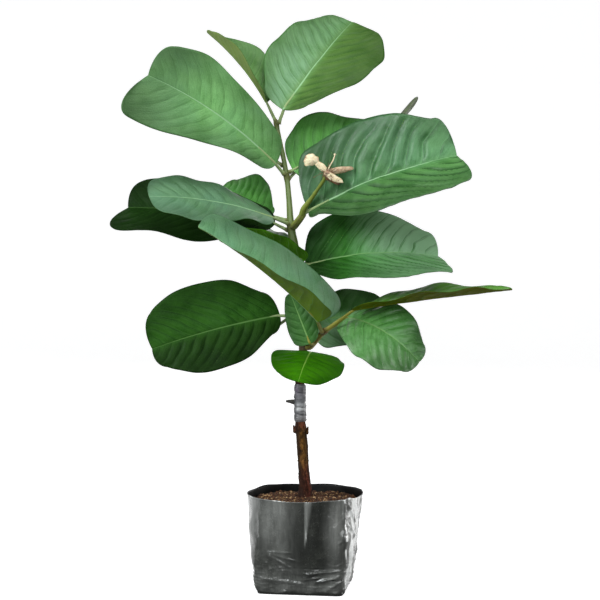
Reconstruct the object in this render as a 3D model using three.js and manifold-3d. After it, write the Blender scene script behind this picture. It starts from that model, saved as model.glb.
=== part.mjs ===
// A grafted guava sapling standing in its black polythene nursery bag.
// Millimetres, +Z up, -Y to the front. The origin is the centre of the bag's flat underside.
// One limb, leaf or fitting is one mesh. Pieces that touch in life stand 0.3 mm apart.
import * as THREE from "three";
import { mergeVertices } from "three/addons/utils/BufferGeometryUtils.js";
import Module from "manifold-3d";

const wasm = await Module();
wasm.setup();

// ---------------------------------------------------------------- driving dimensions
const GAP = 0.3;
const NODE_ROOM = 0.1; // more room where a petiole leaves the swelling of a node
const RAD = Math.PI / 180;

const BAG = {
  height: 70.5,
  film: 1.2, // the film's wall, thickened from 0.1 mm to hold as a solid
  rim: { across: 43.2, deep: 43.2, squareness: 2.2 }, // half sizes and superellipse power
  foot: { across: 32.5, deep: 32.5, squareness: 6 },
  footRound: 2.5, // height of the turned-in edge under the foot
  flatShare: 0.93, // share of the foot's plan that lies flat
  turn: -8, // degrees that the bag stands turned, so that its right side shows
};
const MIX = { edge: 63.5, top: 66.5, flatRadius: 9, slopeShare: 0.6 };
const BAG_LEVELS = [BAG.footRound, 14, 26, 38, 50, MIX.edge, BAG.height];
const BAG_SIDES = 36;

const BARK = { sides: 10, step: 5, flare: 0.7, flareHeight: 6, nodeSwell: 0.5, nodeSpread: 3.2 };
const TAPE = {
  from: 123, // heights
  to: 151,
  clear: GAP + 0.1,
  thickness: 0.5,
  ridge: 0.2, // where one wrap lies over the next
  wraps: 5,
  stub: { length: 5.5, root: 1.9, end: 0.9, above: 0.6, seat: 0.15 },
};

// Limbs: what each grows from, the centreline's points, the radius at even shares of its length, and the
// shares where its leaf nodes swell.
const LIMBS = {
  trunk: {
    points: [
      [0, 0, MIX.top + GAP], [0, 0, 70], [-1.8, 0, 101], [-3.1, 0, 117],
      [-3.8, 0, 139], [-3.4, 0, 158], [-1.5, 0, 172], [-1.5, 0, 176],
    ],
    radius: [4.7, 4.2, 3.9, 3.5, 3.4],
    nodes: [0.47],
    colour: 0x5b3a22,
  },
  main_shoot: {
    points: [
      [-1.5, 0, 176 + GAP], [-1.5, 0, 179], [-4.5, 5, 195], [-6, 9, 221],
      [-6.8, 11, 242], [-10.6, 9, 270], [-13.6, 7, 305.5], [-21.9, 8, 348.5],
    ],
    radius: [3.4, 3.3, 3.3, 3.3, 2.3, 2.1, 1.9, 1.7],
    nodes: [0.15, 0.4, 0.54, 0.76, 0.99],
    colour: 0x7f8d5a,
  },
  front_shoot: {
    from: { limb: "main_shoot", at: 0.012 },
    points: [[3.6, -4.4, 179], [11.6, -8, 188.2], [15.5, -11, 192]],
    radius: [2.2, 1.9],
    nodes: [0.92],
    colour: 0x6e6a1e,
  },
  side_shoot: {
    from: { limb: "main_shoot", at: 0.53 },
    points: [[-4.4, -3, 274], [-1.2, -5, 278.6]],
    radius: [2.9, 2.5],
    nodes: [],
    colour: 0x70682c,
  },
};

// A half blade: its widths at one, three, five, seven and nine tenths of the midrib, and how far its margin
// runs forward at the base and at the tip for each millimetre of width, which shapes the lobes there.
const half = (widths, forward = [0, 0.2]) => ({ widths, forward });

// Leaves: the limb and the share of its length where the petiole leaves, the blade's base and tip, the way
// its upper side faces, and its left and right halves as seen from above with the tip away. Then its shape
// out of the plane: fold lifts each half (degrees), twist turns the blade from base to tip (degrees), arch
// and bow are the midrib's rise and its sideways bend to the right (mm).
const LEAVES = [
  {
    name: "leaf_top_right", limb: "main_shoot", at: 0.972,
    base: [-16.6, 2, 357], tip: [37.5, 58, 432.8], face: [-0.1, -1, 0.4],
    left: half([23, 36, 37, 34, 24], [0, -0.1]), right: half([15, 32, 42, 44, 32], [0.1, 0.1]),
    fold: 8, arch: 5,
  },
  {
    name: "leaf_top_left", limb: "main_shoot", at: 1,
    base: [-28.8, 16, 364.5], tip: [-76.7, 54, 424], face: [0.62, -0.62, 0.48],
    left: half([12, 20, 22, 17, 8]), right: half([12, 19, 20, 12, 4]),
    fold: 50, arch: 4,
  },
  {
    name: "leaf_upper_left", limb: "main_shoot", at: 0.755,
    base: [-21.7, -2.5, 315.8], tip: [-114.5, -30, 378.6], face: [0.1, -1, 0.15],
    left: half([11, 17, 26, 36, 38], [0, 0.4]), right: half([18, 24, 28, 33, 27], [0, 0.35]),
    fold: 8, arch: 3, bow: 5,
  },
  {
    name: "leaf_back_right", limb: "main_shoot", at: 0.77,
    base: [-9, 5, 312], tip: [66.7, 45, 347.5], face: [-0.1, -1, 0.3],
    left: half([25, 34, 30, 18, 8]), right: half([18, 26, 27, 21, 11]),
    fold: 8, arch: 4,
  },
  {
    name: "leaf_edge_right", limb: "main_shoot", at: 0.74,
    base: [-4, 26, 318], tip: [91, 95, 378], face: [-0.5, -0.2, 0.75],
    left: half([8, 13, 12, 9, 6]), right: half([8, 13, 14, 13, 9]),
    fold: 5, arch: -14,
  },
  {
    name: "leaf_upper_right", limb: "side_shoot", at: 1,
    base: [2.2, -7.5, 280.5], tip: [108.5, -48, 318.6], face: [-0.45, -0.79, 0.42],
    left: half([43, 44, 46, 42, 31], [-0.1, 0.1]), right: half([14, 30, 41, 41, 38], [-0.1, 0.6]),
    fold: 23, arch: 8,
  },
  {
    name: "leaf_mid_right", limb: "main_shoot", at: 0.383,
    base: [0.3, 10, 240.2], tip: [98.7, -11, 246.9], face: [-0.21, -0.77, 0.6],
    left: half([29, 36, 34, 29, 18], [-0.15, 0.1]), right: half([17, 30, 33, 33, 25], [0, 1]),
    fold: 20, arch: 9,
  },
  {
    name: "leaf_crossing", limb: "main_shoot", at: 0.405,
    base: [0, -10, 244], tip: [-50.9, -33, 266.5], face: [0.1, 0.05, 1],
    left: half([11, 15, 16, 13, 8]), right: half([11, 15, 16, 13, 8]),
    fold: 28,
  },
  {
    name: "leaf_mid_left", limb: "main_shoot", at: 0.55,
    base: [-23.9, -5, 276], tip: [-112.8, -38, 290], face: [0.3, -0.5, 0.82],
    left: half([16, 21, 30, 33, 29], [0, 0]), right: half([8, 18, 24, 26, 24], [0, 0.15]),
    fold: 5, arch: 5,
  },
  {
    name: "leaf_far_left", limb: "main_shoot", at: 0.515,
    base: [-22.7, 13, 272.6], tip: [-134.6, 14, 284.1], face: [0.07, -0.77, 0.64],
    left: half([14, 36, 41, 36, 34], [0, 0.66]), right: half([12, 20, 24, 27, 23]),
    fold: 18, arch: 4,
  },
  {
    name: "leaf_back_left", limb: "main_shoot", at: 0.565,
    base: [-26, 18, 278], tip: [-66.5, 62, 302], face: [0.2, -0.8, 0.5],
    left: half([7, 11, 13, 12, 8]), right: half([8, 17, 24, 25, 15], [0, 0.3]),
    fold: 8, arch: 3,
  },
  {
    name: "leaf_front_left", limb: "front_shoot", at: 0.8,
    base: [10.1, -29.5, 199.4], tip: [-74.1, -77, 267.1], face: [0.67, -0.17, 0.72],
    left: half([28, 30, 24, 16, 9], [0, 0.1]), right: half([28, 29, 25, 19, 15], [-1, 0.2]),
    fold: 39, twist: -28, arch: 4,
  },
  {
    name: "leaf_lower_left", limb: "main_shoot", at: 0.15,
    base: [-18.8, 6, 202.5], tip: [-113.2, -15, 178.2], face: [0.05, -1, 0.1],
    left: half([14, 26, 30, 28, 18]), right: half([20, 33, 36, 35, 27], [0, 0.25]),
    fold: 8, arch: 3, bow: 2,
  },
  {
    name: "leaf_small_front", limb: "front_shoot", at: 0.3,
    base: [3.7, -12, 181.7], tip: [-11, -7, 219], face: [-0.3, -1, 0.1],
    left: half([11, 12, 11, 9, 6]), right: half([9, 12, 11, 9, 6]),
    fold: 12,
  },
  {
    name: "leaf_bottom_front", limb: "trunk", at: 0.97,
    base: [4.4, -10, 176], tip: [-5, -75, 159.3], face: [0.14, -0.1, 1],
    left: half([22, 27, 28, 26, 18], [0, 0.3]), right: half([22, 26, 25, 22, 15], [0, 0]),
    fold: -2, arch: 3,
  },
  {
    name: "leaf_long_right", limb: "front_shoot", at: 1,
    base: [34.6, -18, 207.8], tip: [150.7, -30, 222.4], face: [-0.12, -0.05, 1],
    left: half([10, 25, 30, 22, 10]), right: half([12, 22, 26, 22, 10]),
    fold: 15, arch: 1,
  },
  {
    name: "leaf_lower_right", limb: "front_shoot", at: 0.88,
    base: [29.9, 0, 201], tip: [83.5, -30, 169.8], face: [0.1, -0.85, 0.5],
    left: half([11, 19, 25, 21, 13]), right: half([17, 26, 31, 30, 20]),
    fold: 6, arch: 12,
  },
  {
    name: "leaf_lower_back", limb: "main_shoot", at: 0.13,
    base: [1, 13, 197.2], tip: [65.4, 48, 200.3], face: [0, -0.85, 0.5],
    left: half([11, 19, 23, 23, 17]), right: half([26, 28, 26, 22, 15]),
    fold: 6, arch: 4,
  },
  {
    name: "leaf_rear_top", limb: "main_shoot", at: 0.8,
    base: [-38, 24, 330], tip: [-84, 94, 372], face: [0.3, -0.1, 0.95],
    left: half([18, 26, 28, 26, 20]), right: half([18, 26, 28, 26, 20]),
    fold: 8, arch: 6,
  },
  {
    name: "leaf_rear_right", limb: "main_shoot", at: 0.535,
    base: [7, 22, 290], tip: [66, 95, 316.5], face: [-0.3, -0.4, 0.85],
    left: half([16, 24, 26, 24, 17]), right: half([16, 24, 26, 24, 17]),
    fold: 12, arch: 6,
  },
  {
    name: "leaf_rear_mid", limb: "main_shoot", at: 0.43,
    base: [-14, 20, 247], tip: [-57, 86, 275], face: [0.2, 0, 1],
    left: half([15, 22, 24, 22, 16]), right: half([15, 22, 24, 22, 16]),
    fold: 8, arch: 4,
  },
  {
    name: "leaf_rear_left", limb: "main_shoot", at: 0.175,
    base: [-22, 17, 192], tip: [-92, 78, 184], face: [0, -0.5, 0.85],
    left: half([16, 23, 25, 23, 17]), right: half([16, 23, 25, 23, 17]),
    fold: 10, arch: 8,
  },
];

const BLADE = {
  along: 14, // facets from base to tip, and across
  across: 4,
  thinnest: 1.1,
  share: 0.0105, // thickness as a share of the length, where that is more
  endRound: 0.1, // share of the length in which each end closes round
  ends: [0.002, 0.998],
};
const PETIOLE = { radius: 1.05, slimming: 0.45, run: 0.16, steps: 6, sides: 6 };

// The withered flower: a stalk, a cup, a style, and dried petals by centre, half sizes and tilt in degrees.
const FLOWER = {
  stalk: [[-1.6, -8.4, 282.6], [4, -13, 288.5], [13.5, -27, 302]],
  stalkRadius: [1.6, 1.1],
  cup: { centre: [16.2, -29.5, 306.5], radius: 3 },
  style: { to: [21.8, -31, 321], radius: 0.8 },
  petals: [
    { centre: [4.6, -31, 316.5], size: [5.7, 1.4, 4.7], tilt: -10 },
    { centre: [11.8, -30.5, 312.2], size: [5.4, 1.6, 2.6], tilt: 42 },
    { centre: [24.8, -30, 309.3], size: [9, 1.8, 3], tilt: -12 },
    { centre: [20.5, -32, 303.5], size: [7.4, 1.4, 3.2], tilt: 30 },
  ],
};

// ---------------------------------------------------------------- solids
const vec = (p) => new THREE.Vector3(...p);

// A closed geometry as a solid. Only the positions are kept, so that shared corners merge.
function solidOf(geometry) {
  const bare = geometry.clone();
  bare.deleteAttribute("normal");
  bare.deleteAttribute("uv");
  const merged = mergeVertices(bare, 1e-4);
  return new wasm.Manifold(
    new wasm.Mesh({
      numProp: 3,
      vertProperties: new Float32Array(merged.attributes.position.array),
      triVerts: new Uint32Array(merged.index.array),
    }),
  );
}

function geometryOf(solid) {
  const { numProp, numVert, vertProperties, triVerts } = solid.getMesh();
  const positions = new Float32Array(numVert * 3);
  for (let i = 0; i < numVert; i++) {
    positions.set(vertProperties.subarray(i * numProp, i * numProp + 3), i * 3);
  }
  return new THREE.BufferGeometry()
    .setAttribute("position", new THREE.BufferAttribute(positions, 3))
    .setIndex(new THREE.BufferAttribute(new Uint32Array(triVerts), 1));
}

function joined(geometries) {
  return geometryOf(geometries.map(solidOf).reduce((a, b) => a.add(b)));
}

// Moves every vertex of a geometry through place(x, y, z), which returns a Vector3.
function bent(geometry, place) {
  const at = geometry.attributes.position;
  for (let i = 0; i < at.count; i++) {
    const p = place(at.getX(i), at.getY(i), at.getZ(i));
    at.setXYZ(i, p.x, p.y, p.z);
  }
  return geometry;
}

// A round bar of changing radius along a curve: a lathe turned on +Y, then laid along the curve.
function bar(curve, radiusAt, steps, sides) {
  const profile = [new THREE.Vector2(0, 0)];
  for (let i = 0; i <= steps; i++) {
    profile.push(new THREE.Vector2(radiusAt(i / steps), i / steps));
  }
  profile.push(new THREE.Vector2(0, 1));
  const frames = curve.computeFrenetFrames(steps);
  return bent(new THREE.LatheGeometry(profile, sides), (x, y, z) => {
    const i = Math.round(y * steps);
    return curve
      .getPointAt(i / steps)
      .addScaledVector(frames.normals[i], z)
      .addScaledVector(frames.binormals[i], x);
  });
}

// ---------------------------------------------------------------- the nursery bag and its potting mix
// The bag's plan at a height: a superellipse that is square at the foot and round at the rim.
function bagPlan(angle, z, inset) {
  const rise = THREE.MathUtils.clamp(z / BAG.height, 0, 1);
  const opening = THREE.MathUtils.smoothstep(rise, 0.2, 1);
  const power = THREE.MathUtils.lerp(BAG.foot.squareness, BAG.rim.squareness, opening);
  const across = THREE.MathUtils.lerp(BAG.foot.across, BAG.rim.across, rise);
  const deep = THREE.MathUtils.lerp(BAG.foot.deep, BAG.rim.deep, rise);
  const c = Math.cos(angle);
  const s = Math.sin(angle);
  const reach = (Math.abs(c) ** power + Math.abs(s) ** power) ** (-1 / power);
  return new THREE.Vector2(c * (reach * across - inset), s * (reach * deep - inset));
}

// A body turned in the bag's plan. Profile points are [share of the plan, height, inset from the outside].
function turnedInPlan(profile) {
  const lathe = new THREE.LatheGeometry(
    profile.map(([share, z]) => new THREE.Vector2(share, z)),
    BAG_SIDES,
  );
  const at = lathe.attributes.position;
  for (let i = 0; i < at.count; i++) {
    const [share, z, inset] = profile[i % profile.length];
    const p = bagPlan(Math.atan2(at.getX(i), at.getZ(i)), z, inset).multiplyScalar(share);
    at.setXYZ(i, p.x, p.y, z);
  }
  return lathe.rotateZ(BAG.turn * RAD);
}

function nurseryBag() {
  const { film, footRound } = BAG;
  const inner = BAG_LEVELS.map((z, i) => [1, i ? z : film + footRound, film]);
  return turnedInPlan([
    [0, 0, 0],
    [BAG.flatShare, 0, 0],
    ...BAG_LEVELS.map((z) => [1, z, 0]),
    ...inner.reverse(),
    [BAG.flatShare, film, film],
    [0, film, film],
  ]);
}

// The mix fills the bag to a little under its rim, mounded towards a level top on which the trunk stands.
function pottingMix() {
  const inset = BAG.film + GAP;
  const { edge, top, flatRadius, slopeShare } = MIX;
  const flat = flatRadius / BAG.rim.deep;
  const wall = BAG_LEVELS.slice(0, -1).map((z, i) => [1, i ? z : inset + BAG.footRound, inset]);
  const mix = turnedInPlan([
    [0, top, inset],
    [flat, top, inset],
    [slopeShare, edge + slopeShare * (top - edge), inset],
    ...wall.reverse(),
    [BAG.flatShare, inset, inset],
    [0, inset, inset],
  ]);
  mix.index.array.reverse(); // the profile runs from the top down, so the faces are turned outwards
  return mix;
}

// ---------------------------------------------------------------- trunk and shoots
const curves = {};

// A limb's centreline. A shoot's first point is where it clears the limb that it grows from.
function limbCurve(name) {
  if (!curves[name]) {
    const { from, points } = LIMBS[name];
    const route = points.map(vec);
    if (from) route.unshift(clearOf(from, route[0], LIMBS[name].radius[0]));
    curves[name] = new THREE.CatmullRomCurve3(route, false, "centripetal");
  }
  return curves[name];
}

// Even stations read as a smooth curve.
function station(values, t) {
  const x = THREE.MathUtils.clamp(t, 0, 1) * (values.length - 1);
  const i = Math.min(Math.floor(x), values.length - 2);
  return THREE.MathUtils.lerp(values[i], values[i + 1], THREE.MathUtils.smoothstep(x - i, 0, 1));
}

// A limb's radius at a share t of its length, swollen at its leaf nodes and flared at the trunk's foot.
function limbRadius(name, t) {
  const { radius, nodes } = LIMBS[name];
  const length = limbCurve(name).getLength();
  const hump = (distance, spread) => Math.exp(-((distance / spread) ** 2));
  const swell = nodes.reduce((sum, at) => sum + hump((t - at) * length, BARK.nodeSpread), 0);
  const flare = name === "trunk" ? hump(t * length, BARK.flareHeight) : 0;
  return station(radius, t) + BARK.nodeSwell * swell + BARK.flare * flare;
}

// Where a twig of a radius, heading for a point, starts just clear of the limb it leaves.
function clearOf({ limb, at }, target, radius) {
  const curve = limbCurve(limb);
  const foot = curve.getPointAt(at);
  const axis = curve.getTangentAt(at);
  const out = target.clone().sub(foot).normalize();
  const cos = Math.abs(out.dot(axis));
  const sin = Math.sqrt(1 - cos * cos);
  const seat = GAP + NODE_ROOM;
  const clear = at === 1 ? (seat + radius * sin) / cos : (limbRadius(limb, at) + seat + radius * cos) / sin;
  return foot.addScaledVector(out, clear);
}

function limb(name) {
  const curve = limbCurve(name);
  const steps = Math.max(4, Math.round(curve.getLength() / BARK.step));
  return bar(curve, (t) => limbRadius(name, t), steps, BARK.sides);
}

// The share of the trunk's length at a height.
function trunkShareAt(z) {
  const curve = limbCurve("trunk");
  let [low, high] = [0, 1];
  for (let i = 0; i < 30; i++) {
    const middle = (low + high) / 2;
    if (curve.getPointAt(middle).z < z) low = middle;
    else high = middle;
  }
  return low;
}

const BUD = { radius: 2.1, stretch: 1.5, sunk: 0.5, stagger: 0.5 };

// Two dormant buds swell from the bark on either side of the rootstock's node.
function trunk() {
  const t = LIMBS.trunk.nodes[0];
  const centre = limbCurve("trunk").getPointAt(t);
  const out = limbRadius("trunk", t) - BUD.sunk;
  const buds = [-1, 1].map((side) =>
    new THREE.SphereGeometry(BUD.radius, 8, 6)
      .scale(1, 1, BUD.stretch)
      .translate(centre.x + side * out, centre.y, centre.z - BUD.stagger * side),
  );
  return joined([limb("trunk"), ...buds]);
}

// The sleeve of graft tape, wound round the trunk over the union, with the cut twig's stub that it binds in.
function graftTape() {
  const curve = limbCurve("trunk");
  const [from, to] = [trunkShareAt(TAPE.from), trunkShareAt(TAPE.to)];
  const steps = TAPE.wraps * 2;
  const profile = [];
  for (let i = 0; i <= steps; i++) profile.push([i, TAPE.clear + TAPE.thickness + TAPE.ridge * (i % 2)]);
  for (let i = steps; i >= 0; i--) profile.push([i, TAPE.clear]);
  profile.push(profile[0]);
  const shareAt = (i) => THREE.MathUtils.lerp(from, to, i / steps);
  const lathe = new THREE.LatheGeometry(
    profile.map(([i, out]) => new THREE.Vector2(limbRadius("trunk", shareAt(i)) + out, i / steps)),
    BARK.sides * 2,
  );
  const stations = 200;
  const frames = curve.computeFrenetFrames(stations);
  const sleeve = bent(lathe, (x, y, z) => {
    const t = THREE.MathUtils.lerp(from, to, y);
    const k = Math.round(t * stations);
    return curve.getPointAt(t).addScaledVector(frames.normals[k], z).addScaledVector(frames.binormals[k], x);
  });
  const t = trunkShareAt((TAPE.from + TAPE.to) / 2);
  const centre = curve.getPointAt(t);
  const { length, root, end, above, seat } = TAPE.stub;
  const out = limbRadius("trunk", t) + TAPE.clear + seat + length / 2;
  const stub = new THREE.CylinderGeometry(end, root, length, 8)
    .rotateZ(90 * RAD)
    .translate(centre.x - out, centre.y, centre.z + above);
  return joined([sleeve, stub]);
}

// ---------------------------------------------------------------- leaves
// A half blade's width at s: its stations, closed round at the base and the tip.
function halfWidth({ widths }, s) {
  const { endRound } = BLADE;
  const over = THREE.MathUtils.clamp(Math.max(1 - s / endRound, 1 - (1 - s) / endRound), 0, 1);
  return station(widths, (s - 0.1) / 0.8) * Math.sqrt(1 - over * over);
}

// The blade's mid-surface at s from base to tip and v from the left margin (-1) to the right (1).
function bladePoint(leaf, s, v) {
  const { base, tip, face, fold = 0, twist = 0, arch = 0, bow = 0 } = leaf;
  const chord = vec(tip).sub(vec(base));
  const ahead = chord.clone().normalize();
  const up = vec(face).projectOnPlane(ahead).normalize();
  const across = new THREE.Vector3().crossVectors(ahead, up);
  const bulge = 4 * s * (1 - s);
  const midrib = vec(base)
    .addScaledVector(chord, s)
    .addScaledVector(up, arch * bulge)
    .addScaledVector(across, bow * bulge);
  const side = v < 0 ? leaf.left : leaf.right;
  const reach = Math.abs(v) * halfWidth(side, s);
  const lift = fold * RAD;
  up.applyAxisAngle(ahead, twist * s * RAD);
  across.applyAxisAngle(ahead, twist * s * RAD);
  const forward = side.forward[0] * (1 - s) ** 3 + side.forward[1] * s ** 2;
  return midrib
    .addScaledVector(ahead, reach * forward)
    .addScaledVector(across, Math.sign(v) * reach * Math.cos(lift))
    .addScaledVector(up, reach * Math.sin(lift));
}

function bladeNormal(leaf, s, v) {
  const step = 1e-3;
  const along = bladePoint(leaf, s + step, v).sub(bladePoint(leaf, s - step, v));
  const across = bladePoint(leaf, s, v + step).sub(bladePoint(leaf, s, v - step));
  return across.cross(along).normalize();
}

// The blade: a flat box bent into the leaf's surface, with rows closer together towards its ends.
function blade(leaf) {
  const length = vec(leaf.tip).distanceTo(vec(leaf.base));
  const thick = Math.max(BLADE.thinnest, BLADE.share * length);
  return bent(new THREE.BoxGeometry(1, 1, 1, BLADE.across, BLADE.along, 1), (x, y, z) => {
    const s = THREE.MathUtils.lerp(...BLADE.ends, (1 + Math.sin(Math.PI * y)) / 2);
    const v = 2 * x;
    return bladePoint(leaf, s, v).addScaledVector(bladeNormal(leaf, s, v), thick * z);
  });
}

// The petiole starts just clear of its limb, and runs on under the blade as the foot of its midrib.
function petiole(leaf) {
  const { radius, slimming, run, steps, sides } = PETIOLE;
  const start = clearOf(leaf, vec(leaf.base), radius);
  const under = (s) => bladePoint(leaf, s, 0).addScaledVector(bladeNormal(leaf, s, 0), -radius / 3);
  const path = new THREE.CatmullRomCurve3(
    [start, start.clone().lerp(under(0.02), 0.5), under(0.03), under(run)],
    false,
    "centripetal",
  );
  return bar(path, (t) => radius * (1 - slimming * t), steps, sides);
}

function leafSolid(leaf) {
  return joined([blade(leaf), petiole(leaf)]);
}

// ---------------------------------------------------------------- the flower
function flower() {
  const { stalk, stalkRadius, cup, style, petals } = FLOWER;
  const route = new THREE.CatmullRomCurve3([...stalk.map(vec), vec(cup.centre)], false, "centripetal");
  const pistil = new THREE.CatmullRomCurve3([vec(cup.centre), vec(style.to)]);
  return joined([
    bar(route, (t) => THREE.MathUtils.lerp(...stalkRadius, t), 8, 8),
    bar(pistil, () => style.radius, 4, 6),
    new THREE.SphereGeometry(cup.radius, 10, 7).translate(...cup.centre),
    ...petals.map(({ centre, size, tilt }) =>
      new THREE.SphereGeometry(1, 10, 7)
        .scale(...size)
        .rotateY(tilt * RAD)
        .translate(...centre),
    ),
  ]);
}

// ---------------------------------------------------------------- the plant
const LEAF_GREEN = 0x3f7f38;
const shoots = Object.keys(LIMBS).filter((name) => name !== "trunk");
const SUBPARTS = [
  ["nursery_bag", nurseryBag, 0x2a2c2a, 0.25],
  ["potting_mix", pottingMix, 0x4a3126, 0.95],
  ["trunk", trunk, LIMBS.trunk.colour, 0.85],
  ["graft_tape", graftTape, 0x6f6c78, 0.4],
  ...shoots.map((name) => [name, () => limb(name), LIMBS[name].colour, 0.6]),
  ["withered_flower", flower, 0xcbb594, 0.8],
  ...LEAVES.map((leaf) => [leaf.name, () => leafSolid(leaf), LEAF_GREEN, 0.45]),
];

const sapling = new THREE.Group();
for (const [name, make, color, roughness] of SUBPARTS) {
  const mesh = new THREE.Mesh(make(), new THREE.MeshStandardMaterial({ color, roughness, metalness: 0 }));
  mesh.name = name;
  sapling.add(mesh);
}

export default sapling;
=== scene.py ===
import math

import bpy
import numpy as np
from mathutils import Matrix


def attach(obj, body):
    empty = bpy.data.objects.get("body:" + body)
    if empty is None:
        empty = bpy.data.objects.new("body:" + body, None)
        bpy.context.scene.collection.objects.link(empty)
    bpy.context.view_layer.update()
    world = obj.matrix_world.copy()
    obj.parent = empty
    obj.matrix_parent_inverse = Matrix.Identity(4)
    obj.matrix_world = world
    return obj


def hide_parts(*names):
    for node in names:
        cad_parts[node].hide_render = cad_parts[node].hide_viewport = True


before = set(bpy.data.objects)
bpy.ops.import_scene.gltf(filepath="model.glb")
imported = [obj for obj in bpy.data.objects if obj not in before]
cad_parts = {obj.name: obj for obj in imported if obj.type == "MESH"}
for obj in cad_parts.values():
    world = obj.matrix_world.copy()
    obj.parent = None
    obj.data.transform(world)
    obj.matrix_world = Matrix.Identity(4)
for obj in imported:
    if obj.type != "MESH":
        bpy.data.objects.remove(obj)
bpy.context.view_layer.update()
MM = 0.001
TURN = 2 * math.pi

# ---------------------------------------------------------------- the source's sizes and rule
GAP = 0.3
NODE_ROOM = 0.1
BAG_HEIGHT = 70.5
BAG_RIM = {"half": 43.2, "power": 2.2}
BAG_FOOT = {"half": 32.5, "power": 6.0}
BAG_TURN = math.radians(-8)
MIX_EDGE = 63.5
MIX_TOP = 66.5
NODE_SWELL = 0.5
NODE_SPREAD = 3.2
FLARE = 0.7
FLARE_HEIGHT = 6.0
PETIOLE_RADIUS = 1.05
PETIOLE_RUN = 0.16
END_ROUND = 0.13

LIMBS = {
    "trunk": {
        "points": [
            [0, 0, 66.8], [0, 0, 70], [-1.8, 0, 101], [-3.1, 0, 117],
            [-3.8, 0, 139], [-3.4, 0, 158], [-1.5, 0, 172], [-1.5, 0, 176],
        ],
        "radius": [4.7, 4.2, 3.9, 3.5, 3.4],
        "nodes": [0.47],
    },
    "main_shoot": {
        "points": [
            [-1.5, 0, 176.3], [-1.5, 0, 179], [-4.5, 5, 195], [-6, 9, 221],
            [-6.8, 11, 242], [-10.6, 9, 270], [-13.6, 7, 305.5], [-21.9, 8, 348.5],
        ],
        "radius": [3.4, 3.3, 3.3, 3.3, 2.3, 2.1, 1.9, 1.7],
        "nodes": [0.15, 0.4, 0.54, 0.76, 0.99],
    },
    "front_shoot": {
        "from": ("main_shoot", 0.012),
        "points": [[3.6, -4.4, 179], [11.6, -8, 188.2], [15.5, -11, 192]],
        "radius": [2.2, 1.9],
        "nodes": [0.92],
    },
    "side_shoot": {
        "from": ("main_shoot", 0.53),
        "points": [[-4.4, -3, 274], [-1.2, -5, 278.6]],
        "radius": [2.9, 2.5],
        "nodes": [],
    },
}

# A half blade: its widths at one, three, five, seven and nine tenths of the midrib, and how far its margin
# runs forward at the base and at the tip.
PLAIN = (0, 0.2)


def leaf(limb, at, base, tip, face, left, right, forward=(PLAIN, PLAIN), fold=0, twist=0, arch=0, bow=0):
    halves = [{"widths": w, "forward": f} for w, f in zip((left, right), forward)]
    return {
        "limb": limb, "at": at, "base": base, "tip": tip, "face": face, "halves": halves,
        "fold": fold, "twist": twist, "arch": arch, "bow": bow,
    }


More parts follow.
